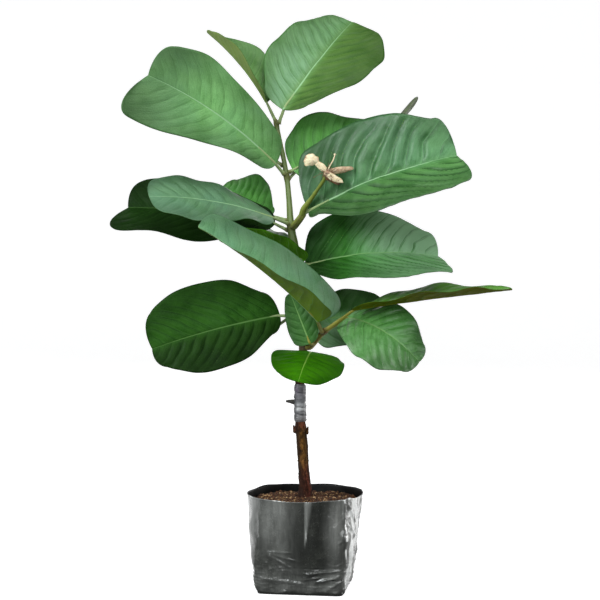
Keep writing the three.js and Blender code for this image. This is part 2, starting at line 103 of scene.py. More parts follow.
LEAVES = {
    "leaf_top_right": leaf(
        "main_shoot", 0.972, [-16.6, 2, 357], [37.5, 58, 432.8], [-0.1, -1, 0.4],
        [23, 36, 37, 34, 24], [15, 32, 42, 44, 32], [(0, -0.1), (0.1, 0.1)], fold=8, arch=5,
    ),
    "leaf_top_left": leaf(
        "main_shoot", 1, [-28.8, 16, 364.5], [-76.7, 54, 424], [0.62, -0.62, 0.48],
        [12, 20, 22, 17, 8], [12, 19, 20, 12, 4], fold=50, arch=4,
    ),
    "leaf_upper_left": leaf(
        "main_shoot", 0.755, [-21.7, -2.5, 315.8], [-114.5, -30, 378.6], [0.1, -1, 0.15],
        [11, 17, 26, 36, 38], [18, 24, 28, 33, 27], [(0, 0.4), (0, 0.35)], fold=8, arch=3, bow=5,
    ),
    "leaf_back_right": leaf(
        "main_shoot", 0.77, [-9, 5, 312], [66.7, 45, 347.5], [-0.1, -1, 0.3],
        [25, 34, 30, 18, 8], [18, 26, 27, 21, 11], fold=8, arch=4,
    ),
    "leaf_edge_right": leaf(
        "main_shoot", 0.74, [-4, 26, 318], [91, 95, 378], [-0.5, -0.2, 0.75],
        [8, 13, 12, 9, 6], [8, 13, 14, 13, 9], fold=5, arch=-14,
    ),
    "leaf_upper_right": leaf(
        "side_shoot", 1, [2.2, -7.5, 280.5], [108.5, -48, 318.6], [-0.45, -0.79, 0.42],
        [43, 44, 46, 42, 31], [14, 30, 41, 41, 38], [(-0.1, 0.1), (-0.1, 0.6)], fold=23, arch=8,
    ),
    "leaf_mid_right": leaf(
        "main_shoot", 0.383, [0.3, 10, 240.2], [98.7, -11, 246.9], [-0.21, -0.77, 0.6],
        [29, 36, 34, 29, 18], [17, 30, 33, 33, 25], [(-0.15, 0.1), (0, 1)], fold=20, arch=9,
    ),
    "leaf_crossing": leaf(
        "main_shoot", 0.405, [0, -10, 244], [-50.9, -33, 266.5], [0.1, 0.05, 1],
        [11, 15, 16, 13, 8], [11, 15, 16, 13, 8], fold=28,
    ),
    "leaf_mid_left": leaf(
        "main_shoot", 0.55, [-23.9, -5, 276], [-112.8, -38, 290], [0.3, -0.5, 0.82],
        [16, 21, 30, 33, 29], [8, 18, 24, 26, 24], [(0, 0), (0, 0.15)], fold=5, arch=5,
    ),
    "leaf_far_left": leaf(
        "main_shoot", 0.515, [-22.7, 13, 272.6], [-134.6, 14, 284.1], [0.07, -0.77, 0.64],
        [14, 36, 41, 36, 34], [12, 20, 24, 27, 23], [(0, 0.66), PLAIN], fold=18, arch=4,
    ),
    "leaf_back_left": leaf(
        "main_shoot", 0.565, [-26, 18, 278], [-66.5, 62, 302], [0.2, -0.8, 0.5],
        [7, 11, 13, 12, 8], [8, 17, 24, 25, 15], [PLAIN, (0, 0.3)], fold=8, arch=3,
    ),
    "leaf_front_left": leaf(
        "front_shoot", 0.8, [10.1, -29.5, 199.4], [-74.1, -77, 267.1], [0.67, -0.17, 0.72],
        [28, 30, 24, 16, 9], [28, 29, 25, 19, 15], [(0, 0.1), (-1, 0.2)], fold=39, twist=-28, arch=4,
    ),
    "leaf_lower_left": leaf(
        "main_shoot", 0.15, [-18.8, 6, 202.5], [-113.2, -15, 178.2], [0.05, -1, 0.1],
        [14, 26, 30, 28, 18], [20, 33, 36, 35, 27], [PLAIN, (0, 0.25)], fold=8, arch=3, bow=2,
    ),
    "leaf_small_front": leaf(
        "front_shoot", 0.3, [3.7, -12, 181.7], [-11, -7, 219], [-0.3, -1, 0.1],
        [11, 12, 11, 9, 6], [9, 12, 11, 9, 6], fold=12,
    ),
    "leaf_bottom_front": leaf(
        "trunk", 0.97, [4.4, -10, 176], [-5, -75, 159.3], [0.14, -0.1, 1],
        [22, 27, 28, 26, 18], [22, 26, 25, 22, 15], [(0, 0.3), (0, 0)], fold=-2, arch=3,
    ),
    "leaf_long_right": leaf(
        "front_shoot", 1, [34.6, -18, 207.8], [150.7, -30, 222.4], [-0.12, -0.05, 1],
        [10, 25, 30, 22, 10], [12, 22, 26, 22, 10], fold=15, arch=1,
    ),
    "leaf_lower_right": leaf(
        "front_shoot", 0.88, [29.9, 0, 201], [83.5, -30, 169.8], [0.1, -0.85, 0.5],
        [11, 19, 25, 21, 13], [17, 26, 31, 30, 20], fold=6, arch=12,
    ),
    "leaf_lower_back": leaf(
        "main_shoot", 0.13, [1, 13, 197.2], [65.4, 48, 200.3], [0, -0.85, 0.5],
        [11, 19, 23, 23, 17], [26, 28, 26, 22, 15], fold=6, arch=4,
    ),
    "leaf_rear_top": leaf(
        "main_shoot", 0.8, [-38, 24, 330], [-84, 94, 372], [0.3, -0.1, 0.95],
        [18, 26, 28, 26, 20], [18, 26, 28, 26, 20], fold=8, arch=6,
    ),
    "leaf_rear_right": leaf(
        "main_shoot", 0.535, [7, 22, 290], [66, 95, 316.5], [-0.3, -0.4, 0.85],
        [16, 24, 26, 24, 17], [16, 24, 26, 24, 17], fold=12, arch=6,
    ),
    "leaf_rear_mid": leaf(
        "main_shoot", 0.43, [-14, 20, 247], [-57, 86, 275], [0.2, 0, 1],
        [15, 22, 24, 22, 16], [15, 22, 24, 22, 16], fold=8, arch=4,
    ),
    "leaf_rear_left": leaf(
        "main_shoot", 0.175, [-22, 17, 192], [-92, 78, 184], [0, -0.5, 0.85],
        [16, 23, 25, 23, 17], [16, 23, 25, 23, 17], fold=10, arch=8,
    ),
}

# How each leaf looks: its green, the height of its quilting in mm, its pairs of side veins, the ripple of
# its margin in mm, its roughness, its gloss, the share of its length in which its tip closes, how much
# lighter its left half is painted than the middle, how light it is painted at its base and at its tip, and
# how straight its two halves close (0.5 is round, 1 is straight). Then how light it is painted at its midrib
# and its margin, how strongly its veins show, how far the side veins run forward on the left and the right,
# how blue these halves are painted as a painted bluish sheen, its painted pale sheen (at its base, tip, left,
# right and margin), how dark the painted shade in the grooves of its two halves is, and how light it is
# painted at mid-length, where that isn't the mean of its base and its tip. All this painted lightness stands
# in for light and shade.
def look(
    tone, quilt, pairs, ripple, wear=0.42, gloss=0.22, tip=0.17, shift=0.0, run=(1.0, 1.0),
    close=(0.5, 0.5), rim=(1.1, 0.72), veins=1.0, lean=(0.45, 0.45), blue_sheen=(1.0, 1.0),
    sheen=(0.0, 0.0, 1.0, 1.0, 1.0), groove_shade=(0.25, 0.25), middle=None,
):
    return {
        "tone": tone, "quilt": quilt, "pairs": pairs, "ripple": ripple, "rough": wear, "gloss": gloss,
        "tip": tip, "shift": shift, "run": run, "close": close, "rim": rim, "veins": veins, "lean": lean,
        "blue_sheen": blue_sheen, "sheen": sheen, "groove_shade": groove_shade,
        "middle": sum(run) / 2 if middle is None else middle,
    }


LOOKS = {
    "leaf_top_right": look(
        "spring", 0.8, 12, 1.2, 0.45, 0.15, 0.17, 0.24, (0.95, 0.8), rim=(1.0, 0.7), veins=0.5,
        lean=(0.5, 0.7), blue_sheen=(1.15, 0.6), groove_shade=(0.4, 0.45), sheen=(0.52, 0.14, 1.0, 0.0, 0.1),
    ),
    "leaf_top_left": look("spring", 0.3, 10, 0.6, 0.42, 0.22, 0.17, 0.0, (1.3, 1.0), veins=0.6),
    "leaf_upper_left": look(
        "fresh", 0.22, 12, 1.3, 0.45, 0.25, 0.14, -0.07, (1.12, 0.72), veins=0.3, middle=1.42,
    ),
    "leaf_back_right": look("mid", 0.8, 10, 1.2, run=(1.75, 1.6), veins=0.6),
    "leaf_edge_right": look("rusty", 0.3, 9, 0.6),
    "leaf_upper_right": look(
        "cool", 1.6, 9, 1.6, 0.4, 0.3, 0.09, 0.05, (0.74, 1.25), (0.5, 1.0), veins=0.6, lean=(0.5, 1.0),
        blue_sheen=(1.05, 0.75), groove_shade=(0.45, 0.95),
    ),
    "leaf_mid_right": look(
        "shaded", 1.2, 10, 1.3, 0.5, 0.08, 0.11, 0.0, (0.4, 1.7), (0.5, 1.0), veins=0.8, lean=(0.5, 1.2),
        middle=1.32, sheen=(-0.5, 1.35, 1.2, 0.5, 1.0), groove_shade=(0.55, 0.5),
    ),
    "leaf_crossing": look("deep", 0.3, 9, 0.6, gloss=0.1, veins=0.5),
    "leaf_mid_left": look("blue_sheened", 0.3, 10, 1.1, 0.42, 0.3, run=(0.82, 0.82), veins=0.3),
    "leaf_far_left": look("dark", 0.45, 11, 1.6, 0.42, 0.05, run=(0.55, 0.45), veins=0.6),
    "leaf_back_left": look("mid", 0.7, 9, 1.1, run=(1.3, 1.2), veins=0.6),
    "leaf_front_left": look("blue_sheened", 0.22, 11, 0.9, 0.42, 0.3, 0.12, run=(1.4, 1.4), veins=0.25),
    "leaf_lower_left": look(
        "dark", 0.7, 11, 1.2, 0.42, 0.06, 0.17, -0.4, (1.2, 1.1), veins=0.4, lean=(0.6, 0.9), blue_sheen=(0.8, 1.0),
    ),
    "leaf_small_front": look("mid", 0.5, 7, 0.6, run=(0.85, 0.8), veins=0.6),
    "leaf_bottom_front": look("bright", 0.45, 8, 0.5, 0.62, 0.02, shift=-0.12, run=(0.75, 0.67), veins=0.6),
    "leaf_long_right": look("olive", 0.45, 11, 1.3, 0.5, 0.05, 0.12, run=(1.35, 1.35), veins=0.8),
    "leaf_lower_right": look(
        "mid", 0.75, 9, 1.4, 0.27, 0.4, 0.17, 0.0, (2.0, 0.82), veins=0.6, sheen=(0.25, 0.12, 0.5, 1.0, 1.0),
    ),
    "leaf_lower_back": look(
        "mid", 0.55, 8, 1.7, 0.5, 0.05, 0.17, -0.7, (1.4, 1.5), veins=0.5, sheen=(1.0, 1.0, 0.0, 1.0, 1.0),
    ),
    "leaf_rear_top": look("mid", 0.6, 10, 1.3, veins=0.6),
    "leaf_rear_right": look("deep", 0.6, 10, 1.3, veins=0.6),
    "leaf_rear_mid": look("mid", 0.6, 9, 1.3, veins=0.6),
    "leaf_rear_left": look("dark", 0.6, 10, 1.3, veins=0.6),
}

# The colour of the leaves' pale sheen.
SHEEN = (0.2, 0.36, 0.2)

# Each green: the upper side in its valleys and on its crowns, the lower side, and the midrib. The blend from
# valley to crown carries painted shade in the valleys and painted light on the crowns.
PALE_RIB, LEAFY_RIB = (0.24, 0.42, 0.22), (0.13, 0.29, 0.07)
GREENS = {
    # the crowns of the next two greens carry in part a painted bluish sheen, and the second's valleys too
    "fresh": ((0.036, 0.13, 0.022), (0.094, 0.225, 0.07), (0.07, 0.125, 0.004), PALE_RIB),
    "blue_sheened": ((0.045, 0.14, 0.045), (0.094, 0.21, 0.1), (0.11, 0.19, 0.003), PALE_RIB),
    "spring": ((0.02, 0.1, 0.006), (0.09, 0.2, 0.055), (0.15, 0.21, 0.045), PALE_RIB),
    "cool": ((0.006, 0.055, 0.005), (0.055, 0.15, 0.05), (0.045, 0.1, 0.003), PALE_RIB),
    "mid": ((0.012, 0.068, 0.005), (0.048, 0.162, 0.028), (0.04, 0.1, 0.002), (0.17, 0.34, 0.1)),
    "shaded": ((0.008, 0.06, 0.003), (0.03, 0.14, 0.016), (0.045, 0.1, 0.003), (0.17, 0.34, 0.12)),
    "deep": ((0.006, 0.055, 0.001), (0.022, 0.12, 0.004), (0.05, 0.17, 0.001), LEAFY_RIB),
    "bright": ((0.008, 0.09, 0.0004), (0.038, 0.18, 0.001), (0.05, 0.12, 0.002), (0.17, 0.33, 0.05)),
    # darkened as painted shade, for leaves that lie in the shade of others
    "dark": ((0.0016, 0.018, 0.0004), (0.016, 0.062, 0.006), (0.01, 0.03, 0.0004), (0.09, 0.2, 0.05)),
    "olive": ((0.02, 0.09, 0.004), (0.07, 0.19, 0.025), (0.14, 0.15, 0.002), (0.2, 0.22, 0.04)),
    "rusty": ((0.03, 0.055, 0.015), (0.08, 0.11, 0.035), (0.13, 0.12, 0.05), LEAFY_RIB),
}


def unit(v):
    return v / np.maximum(np.linalg.norm(v, axis=-1, keepdims=True), 1e-12)


def smooth(x, low=0.0, high=1.0):
    x = np.clip((x - low) / (high - low), 0, 1)
    return x * x * (3 - 2 * x)


def lerp(a, b, t):
    return a + (b - a) * t


class Curve:
    """A centripetal Catmull-Rom curve, read by the share of its length."""

    def __init__(self, points, fine=60):
        p = np.array(points, float)
        p = np.vstack([2 * p[0] - p[1], p, 2 * p[-1] - p[-2]])
        w = np.linspace(0, 1, fine, endpoint=False)[:, None]
        parts = []
        for i in range(1, len(p) - 2):
            a, b, c, d = p[i - 1 : i + 3]
            d0, d1, d2 = (math.sqrt(np.linalg.norm(y - x)) for x, y in ((a, b), (b, c), (c, d)))
            t1 = ((b - a) / d0 - (c - a) / (d0 + d1) + (c - b) / d1) * d1
            t2 = ((c - b) / d1 - (d - b) / (d1 + d2) + (d - c) / d2) * d1
            parts.append(b + t1 * w + (3 * c - 3 * b - 2 * t1 - t2) * w**2 + (2 * b - 2 * c + t1 + t2) * w**3)
        self.path = np.vstack(parts + [p[-2:-1]])
        steps = np.linalg.norm(np.diff(self.path, axis=0), axis=1)
        self.run = np.concatenate([[0], np.cumsum(steps)])
        self.length = self.run[-1]

    def at(self, share):
        x = np.atleast_1d(share) * self.length
        return np.stack([np.interp(x, self.run, self.path[:, k]) for k in range(3)], axis=-1)

    def tangent(self, share):
        step = 0.004
        return unit(self.at(np.minimum(share + step, 1)) - self.at(np.maximum(share - step, 0)))


def station(values, t):
    """Even stations read as a smooth curve, in the source's way."""
    x = np.clip(t, 0, 1) * (len(values) - 1)
    i = np.minimum(np.floor(x).astype(int), len(values) - 2)
    v = np.array(values, float)
    return lerp(v[i], v[i + 1], smooth(x - i))


def flowing(values, t):
    """Even stations read as a smooth curve that doesn't pause at them."""
    v = np.array(values, float)
    v = np.concatenate([[1.5 * v[0] - 0.5 * v[1]], v, [1.5 * v[-1] - 0.5 * v[-2]]])
    x = np.clip(t, 0, 1) * (len(values) - 1)
    i = np.minimum(np.floor(x).astype(int), len(values) - 2)
    f = x - i
    a, b, c, d = v[i], v[i + 1], v[i + 2], v[i + 3]
    return b + 0.5 * f * (c - a + f * (2 * a - 5 * b + 4 * c - d + f * (3 * (b - c) + d - a)))


CURVES = {}


def limb_curve(name):
    if name not in CURVES:
        limb = LIMBS[name]
        points = list(limb["points"])
        if "from" in limb:
            points = [clear_of(*limb["from"], points[0], limb["radius"][0])] + points
        CURVES[name] = Curve(points)
    return CURVES[name]


def hump(distance, spread):
    return np.exp(-((distance / spread) ** 2))


def node_swell(name, t):
    length = limb_curve(name).length
    return sum((hump((t - at) * length, NODE_SPREAD) for at in LIMBS[name]["nodes"]), np.zeros_like(t))


def limb_radius(name, t):
    t = np.asarray(t, float)
    flare = FLARE * hump(t * limb_curve(name).length, FLARE_HEIGHT) if name == "trunk" else 0
    return station(LIMBS[name]["radius"], t) + NODE_SWELL * node_swell(name, t) + flare


def clear_of(limb, at, target, radius, seat=GAP + NODE_ROOM):
    """Where a twig of a radius, heading for a point, starts just clear of the limb it leaves."""
    curve = limb_curve(limb)
    foot = curve.at(at)[0]
    out = unit(np.array(target, float) - foot)
    cos = abs(out @ curve.tangent(at)[0])
    sin = math.sqrt(1 - cos * cos)
    if at == 1:
        return foot + out * (seat + radius * sin) / cos
    return foot + out * (float(limb_radius(limb, at)) + seat + radius * cos) / sin


# ---------------------------------------------------------------- noise, all of it fixed by its seed
def lattice(x, y, z, seed):
    h = (x * 374761393 + y * 668265263 + z * 1440662683 + seed * 974634777) & 0xFFFFFFFF
    h = ((h ^ (h >> 13)) * 1274126177) & 0xFFFFFFFF
    h = ((h ^ (h >> 16)) * 1597334677) & 0xFFFFFFFF
    return (h >> 8) / 0x7FFFFF - 1


def noise(p, size, seed=0):
    """Smooth noise from -1 to 1 over points, with features of about a size (or sizes for x, y and z)."""
    q = np.asarray(p, float) / size
    i = np.floor(q).astype(np.int64)
    f = q - i
    f = f * f * (3 - 2 * f)
    total = np.zeros(q.shape[:-1])
    for corner in range(8):
        dx, dy, dz = corner & 1, (corner >> 1) & 1, corner >> 2
        weight = np.ones(q.shape[:-1])
        for k, d in enumerate((dx, dy, dz)):
            weight = weight * (f[..., k] if d else 1 - f[..., k])
        total += weight * lattice(i[..., 0] + dx, i[..., 1] + dy, i[..., 2] + dz, seed)
    return total


def rough(p, size, seed=0, layers=3):
    size = np.asarray(size, float)
    return sum(noise(p, size / 2**k, seed + 17 * k) / 2**k for k in range(layers))


# ---------------------------------------------------------------- shapes
def grid_faces(rows, columns, wrap=False, flip=False, start=0):
    """Quads over a grid of points that is stored row by row."""
    r = np.arange(rows - 1)[:, None]
    c = np.arange(columns if wrap else columns - 1)[None, :]
    n = (c + 1) % columns
    quads = np.stack([r * columns + c, r * columns + n, (r + 1) * columns + n, (r + 1) * columns + c], -1)
    quads = quads.reshape(-1, 4) + start
    return quads[:, ::-1] if flip else quads


def fan(centre, sides, first=0, flip=False):
    """Triangles that close a ring of points onto a centre."""
    k = np.arange(sides)
    n = (k + 1) % sides
    a, b = (n, k) if flip else (k, n)
    return np.stack([np.full(sides, centre), first + a, first + b], -1)


def closed_faces(rings, sides, flip=False):
    """A body of rings, closed by two points that are stored after them: at its first ring and its last."""
    n = rings * sides
    body = grid_faces(rings, sides, wrap=True, flip=flip)
    return [body, fan(n, sides, 0, not flip), fan(n + 1, sides, n - sides, flip)]


def turns(sides):
    return np.arange(sides) / sides * TURN


def angle_from(angle, middle):
    """How far angles lie from one of them, the short way round."""
    return np.angle(np.exp(1j * (angle - middle)))


def round_points(angle, z, radius):
    """Points on a cylinder: the places of the noise that lies round a limb."""
    return flat_points(radius * np.cos(angle), radius * np.sin(angle), z)


def flat_points(*parts):
    """Points from their x, y and z, each of them a number or a grid."""
    return np.stack(np.broadcast_arrays(*parts), -1)


class Shape:
    """Gathers closed parts, with values for their points, and makes them one mesh."""

    def __init__(self):
        self.points = []
        self.faces = []
        self.slots = []
        self.values = {}
        self.count = 0

    def add(self, points, faces, slot=0, **values):
        points = np.asarray(points, float).reshape(-1, 3)
        for f, s in zip(faces, slot if isinstance(slot, list) else [slot] * len(faces)):
            self.faces += (np.asarray(f) + self.count).tolist()
            self.slots += [s] * len(f)
        for name in {**self.values, **values}:
            have = self.values.setdefault(name, [np.zeros(self.count)])
            have.append(np.broadcast_to(values.get(name, 0.0), len(points)))
        self.points.append(points)
        self.count += len(points)

    def build(self, name, materials, replaces=None, smooth_faces=True):
        mesh = bpy.data.meshes.new(name)
        mesh.from_pydata((np.vstack(self.points) * MM).tolist(), [], self.faces)
        for m in materials:
            mesh.materials.append(m)
        mesh.polygons.foreach_set("material_index", self.slots)
        mesh.polygons.foreach_set("use_smooth", [smooth_faces] * len(self.faces))
        for key, parts in self.values.items():
            layer = mesh.attributes.new(key, "FLOAT", "POINT")
            layer.data.foreach_set("value", np.concatenate(parts).astype(np.float32))
        mesh.validate()
        mesh.update()
        piece = bpy.data.objects.new(name, mesh)
        bpy.context.scene.collection.objects.link(piece)
        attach(piece, "root")
        if replaces:
            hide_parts(*replaces)
        return piece


def carried_frames(path, start=(1, 0, 0)):
    """Two crosswise directions at each point of a path, carried along without spin."""
    tangents = unit(np.gradient(path, axis=0))
    side = np.array(start, float)
    sides = []
    for t in tangents:
        side = unit(side - t * (side @ t))
        sides.append(side)
    sides = np.array(sides)
    return sides, np.cross(tangents, sides)


def add_tube(shape, path, radius, sides, slot=0, start=(1, 0, 0), **values):
    """A closed tube along a path. The radius is one number, one for each point, or one for each vertex."""
    n = len(path)
    radius = np.asarray(radius, float)
    radius = np.broadcast_to(radius[:, None] if radius.ndim == 1 else radius, (n, sides))
    a, b = carried_frames(path, start)
    angle = turns(sides)[None, :, None]
    ring = a[:, None] * np.cos(angle) + b[:, None] * np.sin(angle)
    body = path[:, None] + ring * radius[..., None]
    points = np.vstack([body.reshape(-1, 3), path[:1], path[-1:]])
    full = {}
    for key, v in values.items():
        v = np.asarray(v, float)
        v = np.broadcast_to(v[:, None] if v.ndim == 1 else v, (n, sides))
        full[key] = np.concatenate([v.ravel(), [v[0].mean()], [v[-1].mean()]])
    shape.add(points, closed_faces(n, sides), slot, **full)


def add_blob(shape, centre, size, seed, rings=7, sides=10, lumps=0.15, spin=None, slot=0, **values):
    """A closed, lumpy round body."""
    lat = np.linspace(0, math.pi, rings + 2)[1:-1, None]
    lon = turns(sides)
    ring = flat_points(np.sin(lat) * np.cos(lon), np.sin(lat) * np.sin(lon), np.cos(lat))
    p = np.vstack([ring.reshape(-1, 3), [[0, 0, 1], [0, 0, -1]]])
    p = p * (1 + lumps * noise(p + seed * 3.7, 0.9, seed))[:, None] * np.asarray(size, float)
    if spin is not None:
        p = p @ spin.T
    shape.add(p + np.asarray(centre, float), closed_faces(rings, sides, flip=True), slot, **values)


# ---------------------------------------------------------------- materials
def rgba(colour):
    return colour if isinstance(colour, bpy.types.NodeSocket) else (*colour, 1)


class Paint:
    """A material in the making: its node tree, its running colour, and short words for the shared nodes."""

    def __init__(self, name, roughness=0.5, **fixed):
        self.material = bpy.data.materials.new(name)
        self.material.use_nodes = True
        self.tree = self.material.node_tree
        self.shader = next(n for n in self.tree.nodes if n.type == "BSDF_PRINCIPLED")
        self.body = None
        for key, value in {"Roughness": roughness, **fixed}.items():
            self.shader.inputs[key.replace("_", " ")].default_value = value

    def put(self, kind, inputs, output=0, **settings):
        """Adds a shader node and hands back an output. Inputs are constants or other nodes' outputs."""
        node = self.tree.nodes.new("ShaderNode" + kind)
        for key, value in settings.items():
            setattr(node, key, value)
        for key, value in inputs.items():
            if isinstance(value, bpy.types.NodeSocket):
                self.tree.links.new(value, node.inputs[key])
            else:
                node.inputs[key].default_value = value
        return node.outputs[output]

    def math(self, operation, a, b=0.5, clamp=False):
        return self.put("Math", {0: a, 1: b}, operation=operation, use_clamp=clamp)

    def add(self, a, b, clamp=False):
        return self.math("ADD", a, b, clamp)

    def less_half(self, value):
        return self.math("SUBTRACT", value, 0.5)

    def times(self, product, *values):
        for value in values:
            product = self.math("MULTIPLY", product, value)
        return product

    def between(self, factor, a, b):
        return self.add(a, self.times(factor, self.math("SUBTRACT", b, a)))

    def span(self, value, low, high, at_low=0.0, at_high=1.0):
        inputs = {"Value": value, "From Min": low, "From Max": high, "To Min": at_low, "To Max": at_high}
        return self.put("MapRange", inputs, "Result", interpolation_type="SMOOTHSTEP")

    def mix(self, factor, a, b):
        return self.put("Mix", {0: factor, 6: rgba(a), 7: rgba(b)}, 2, data_type="RGBA")

    def over(self, colour, factor):
        """Lays a colour over the running colour."""
        self.body = self.mix(factor, self.body, colour)

    def ramp(self, factor, stops):
        colour = self.put("ValToRGB", {"Fac": factor}, "Color")
        elements = colour.node.color_ramp.elements
        while len(elements) < len(stops):
            elements.new(0.5)
        for element, (place, stop) in zip(elements, stops):
            element.position = place
            element.color = (*stop, 1)
        return colour

    def read(self, name):
        return self.put("Attribute", {}, "Fac", attribute_name=name)

    def here(self, height_scale=None, scale=1.0):
        """The object's own coordinates, stretched where a scale is given."""
        place = self.put("TexCoord", {}, "Object")
        if height_scale is None:
            return place
        return self.put("Mapping", {"Vector": place, "Scale": (scale, scale, height_scale)})

    def grain(self, place, scale, detail=4.0, roughness=0.6, distortion=0.0):
        inputs = {"Vector": place, "Scale": scale, "Detail": detail, "Roughness": roughness}
        return self.put("TexNoise", {**inputs, "Distortion": distortion}, "Fac")

    def cells(self, place, scale, feature="F1"):
        return self.put("TexVoronoi", {"Vector": place, "Scale": scale}, "Distance", feature=feature)

    def bump(self, height, distance, strength=1.0, **below):
        inputs = {"Height": height, "Distance": distance, "Strength": strength, **below}
        return self.put("Bump", inputs, "Normal")

    def done(self, **links):
        """Links the running colour and what else is given, and hands back the material."""
        for key, value in {"Base_Color": self.body, **links}.items():
            self.tree.links.new(value, self.shader.inputs[key.replace("_", " ")])
        return self.material


def leaf_surface(name, look, length):
    """A green blade: a pale midrib, thin side veins between quilted crowns, a net of the finest veins, and
    painted light, shade and sheen.
    """
    p = Paint("blade_" + name, look["rough"], Specular_IOR_Level=look["gloss"])
    valley, crown, under, midrib = GREENS[look["tone"]]
    vein = [1.5 * c + 0.012 for c in crown]
    vein_share = 0.5 * look["pairs"] / length
    along, across, spread = (p.read(key) for key in ("along", "across", "spread"))
    phase, upper, rib = (p.read(key) for key in ("phase", "upper", "rib"))
    flat = p.put("CombineXYZ", {0: along, 1: across})
    leaning = p.put("CombineXYZ", {0: p.times(phase, 7.0), 1: p.times(across, 0.1)})
    streak = p.grain(leaning, 1.0, 4.0, 0.65)
    blotch = p.grain(flat, 0.06, 3.0)
    fine = p.grain(flat, 0.5)
    net = p.cells(flat, 0.75, "DISTANCE_TO_EDGE")
    away = p.math("PINGPONG", phase)
    past = p.math("FRACT", phase)

    # The green: painted shade in the valleys and painted light on the crowns, with a painted saw-tooth shade
    # behind each side vein, in random patches; a painted bluish sheen in patches; streaks along the side
    # veins, the finest net, and the side veins.
    crease = 1 - 0.8 * min(look["quilt"], 1)
    lit = p.between(p.span(spread, 0.55, 1.0), p.span(past, 0.03, 0.6, crease, 1.0), 0.75)
    lit = p.between(p.span(p.grain(flat, 0.045, 2.0), 0.35, 0.58, 0.45, 1.0), 1.0, lit)
    shade = p.times(lit, p.span(blotch, 0.36, 0.62, 0.5, 1.1))
    p.body = p.mix(shade, valley, crown)
    # a painted bluish sheen, in random patches
    blue_sheen_patches = p.span(p.grain(flat, 0.035, 3.0, 0.6, 0.6), 0.42, 0.66, 0.0, 0.5)
    p.over((crown[0], crown[1], 1.3 * crown[2]), blue_sheen_patches)
    p.over(vein, p.span(streak, 0.5, 0.72, 0.0, 0.15 + 0.2 * look["veins"]))
    p.over(valley, p.span(streak, 0.3, 0.47, 0.55, 0.0))
    p.over(crown, p.span(fine, 0.35, 0.75, 0.0, 0.2))
    p.over(vein, p.span(net, 0.0, 0.12, 0.2, 0.0))
    line = p.times(p.span(away, 0.0, vein_share, look["veins"], 0.0), p.span(spread, 0.75, 1.0, 0.5, 0.1))
    p.over([1.3 * c for c in vein], line)

    # How light it is painted from half to half, from base to tip and from midrib to margin: painted light and
    # shade.
    halves = p.span(across, -6.0, 6.0, 1 + look["shift"], 1 - look["shift"])
    first, last = look["run"]
    ends = p.span(along, 0.1 * length, 0.5 * length, first / look["middle"], 1.0)
    ends = p.times(ends, p.span(along, 0.5 * length, 0.92 * length, look["middle"], last))
    light = p.times(halves, ends, p.span(spread, 0.1, 0.95, *look["rim"]))
    p.body = p.put("VectorMath", {0: p.body, "Scale": light}, operation="SCALE")

    # The painted pale sheen, the painted shade in the grooves behind the side veins, and the painted bluish
    # cast of each half.
    at_base, at_tip, left, right, margin = look["sheen"]
    if max(at_base, at_tip) > 0:
        glow = p.times(
            p.span(along, 0.05 * length, 0.85 * length, at_base, at_tip),
            p.span(across, -8.0, 8.0, left, right), p.span(streak, 0.3, 0.6, 0.55, 1.1),
            p.between(0.6, 1.0, lit), p.span(spread, 0.4, 1.0, 1.0, margin),
        )
        p.over(SHEEN, glow)
    painted_groove_shade = p.times(
        p.span(past, 0.0, 0.3, 1.0, 0.0), p.span(across, -3.0, 3.0, *look["groove_shade"]),
        p.span(spread, 0.03, 0.2), p.span(streak, 0.3, 0.6, 1.2, 0.6), p.span(spread, 0.7, 1.0, 1.0, 0.4),
    )
    p.over([0.55 * c for c in valley], painted_groove_shade)
    blue_sheen_cast = p.put("CombineXYZ", {0: 1.0, 1: 1.0, 2: p.span(across, -6.0, 6.0, *look["blue_sheen"])})
    face = p.put("VectorMath", {0: p.body, 1: blue_sheen_cast}, operation="MULTIPLY")

    # The lower side, then the midrib and the thin margin over both.
    p.body = p.mix(p.span(blotch, 0.3, 0.7), under, [1.25 * c for c in under])
    p.over(LEAFY_RIB, p.span(net, 0.0, 0.15, 0.25, 0.0))
    back_line = p.times(p.span(away, 0.0, vein_share, 0.8, 0.0), p.span(spread, 0.75, 1.0, 1.0, 0.2))
    p.over(LEAFY_RIB, back_line)
    p.over(face, upper)
    p.over(midrib, p.times(p.span(rib, 0.35, 0.8, 0.0, 0.9), p.span(along, 0.6 * length, length, 1.0, 0.45)))
    p.over([0.8 * c for c in valley], p.span(spread, 0.955, 1.0, 0.0, 0.65))
    relief = p.add(p.add(p.times(net, 1.2), p.times(fine, 0.4)), p.times(streak, 1.5))
    wear = p.span(p.grain(flat, 0.12, 2.0), 0.3, 0.7, look["rough"] - 0.05, look["rough"] + 0.08)
    wear = p.add(wear, p.span(upper, 0.0, 1.0, 0.28, 0.0))
    return p.done(Normal=p.bump(relief, 0.00013), Roughness=wear)


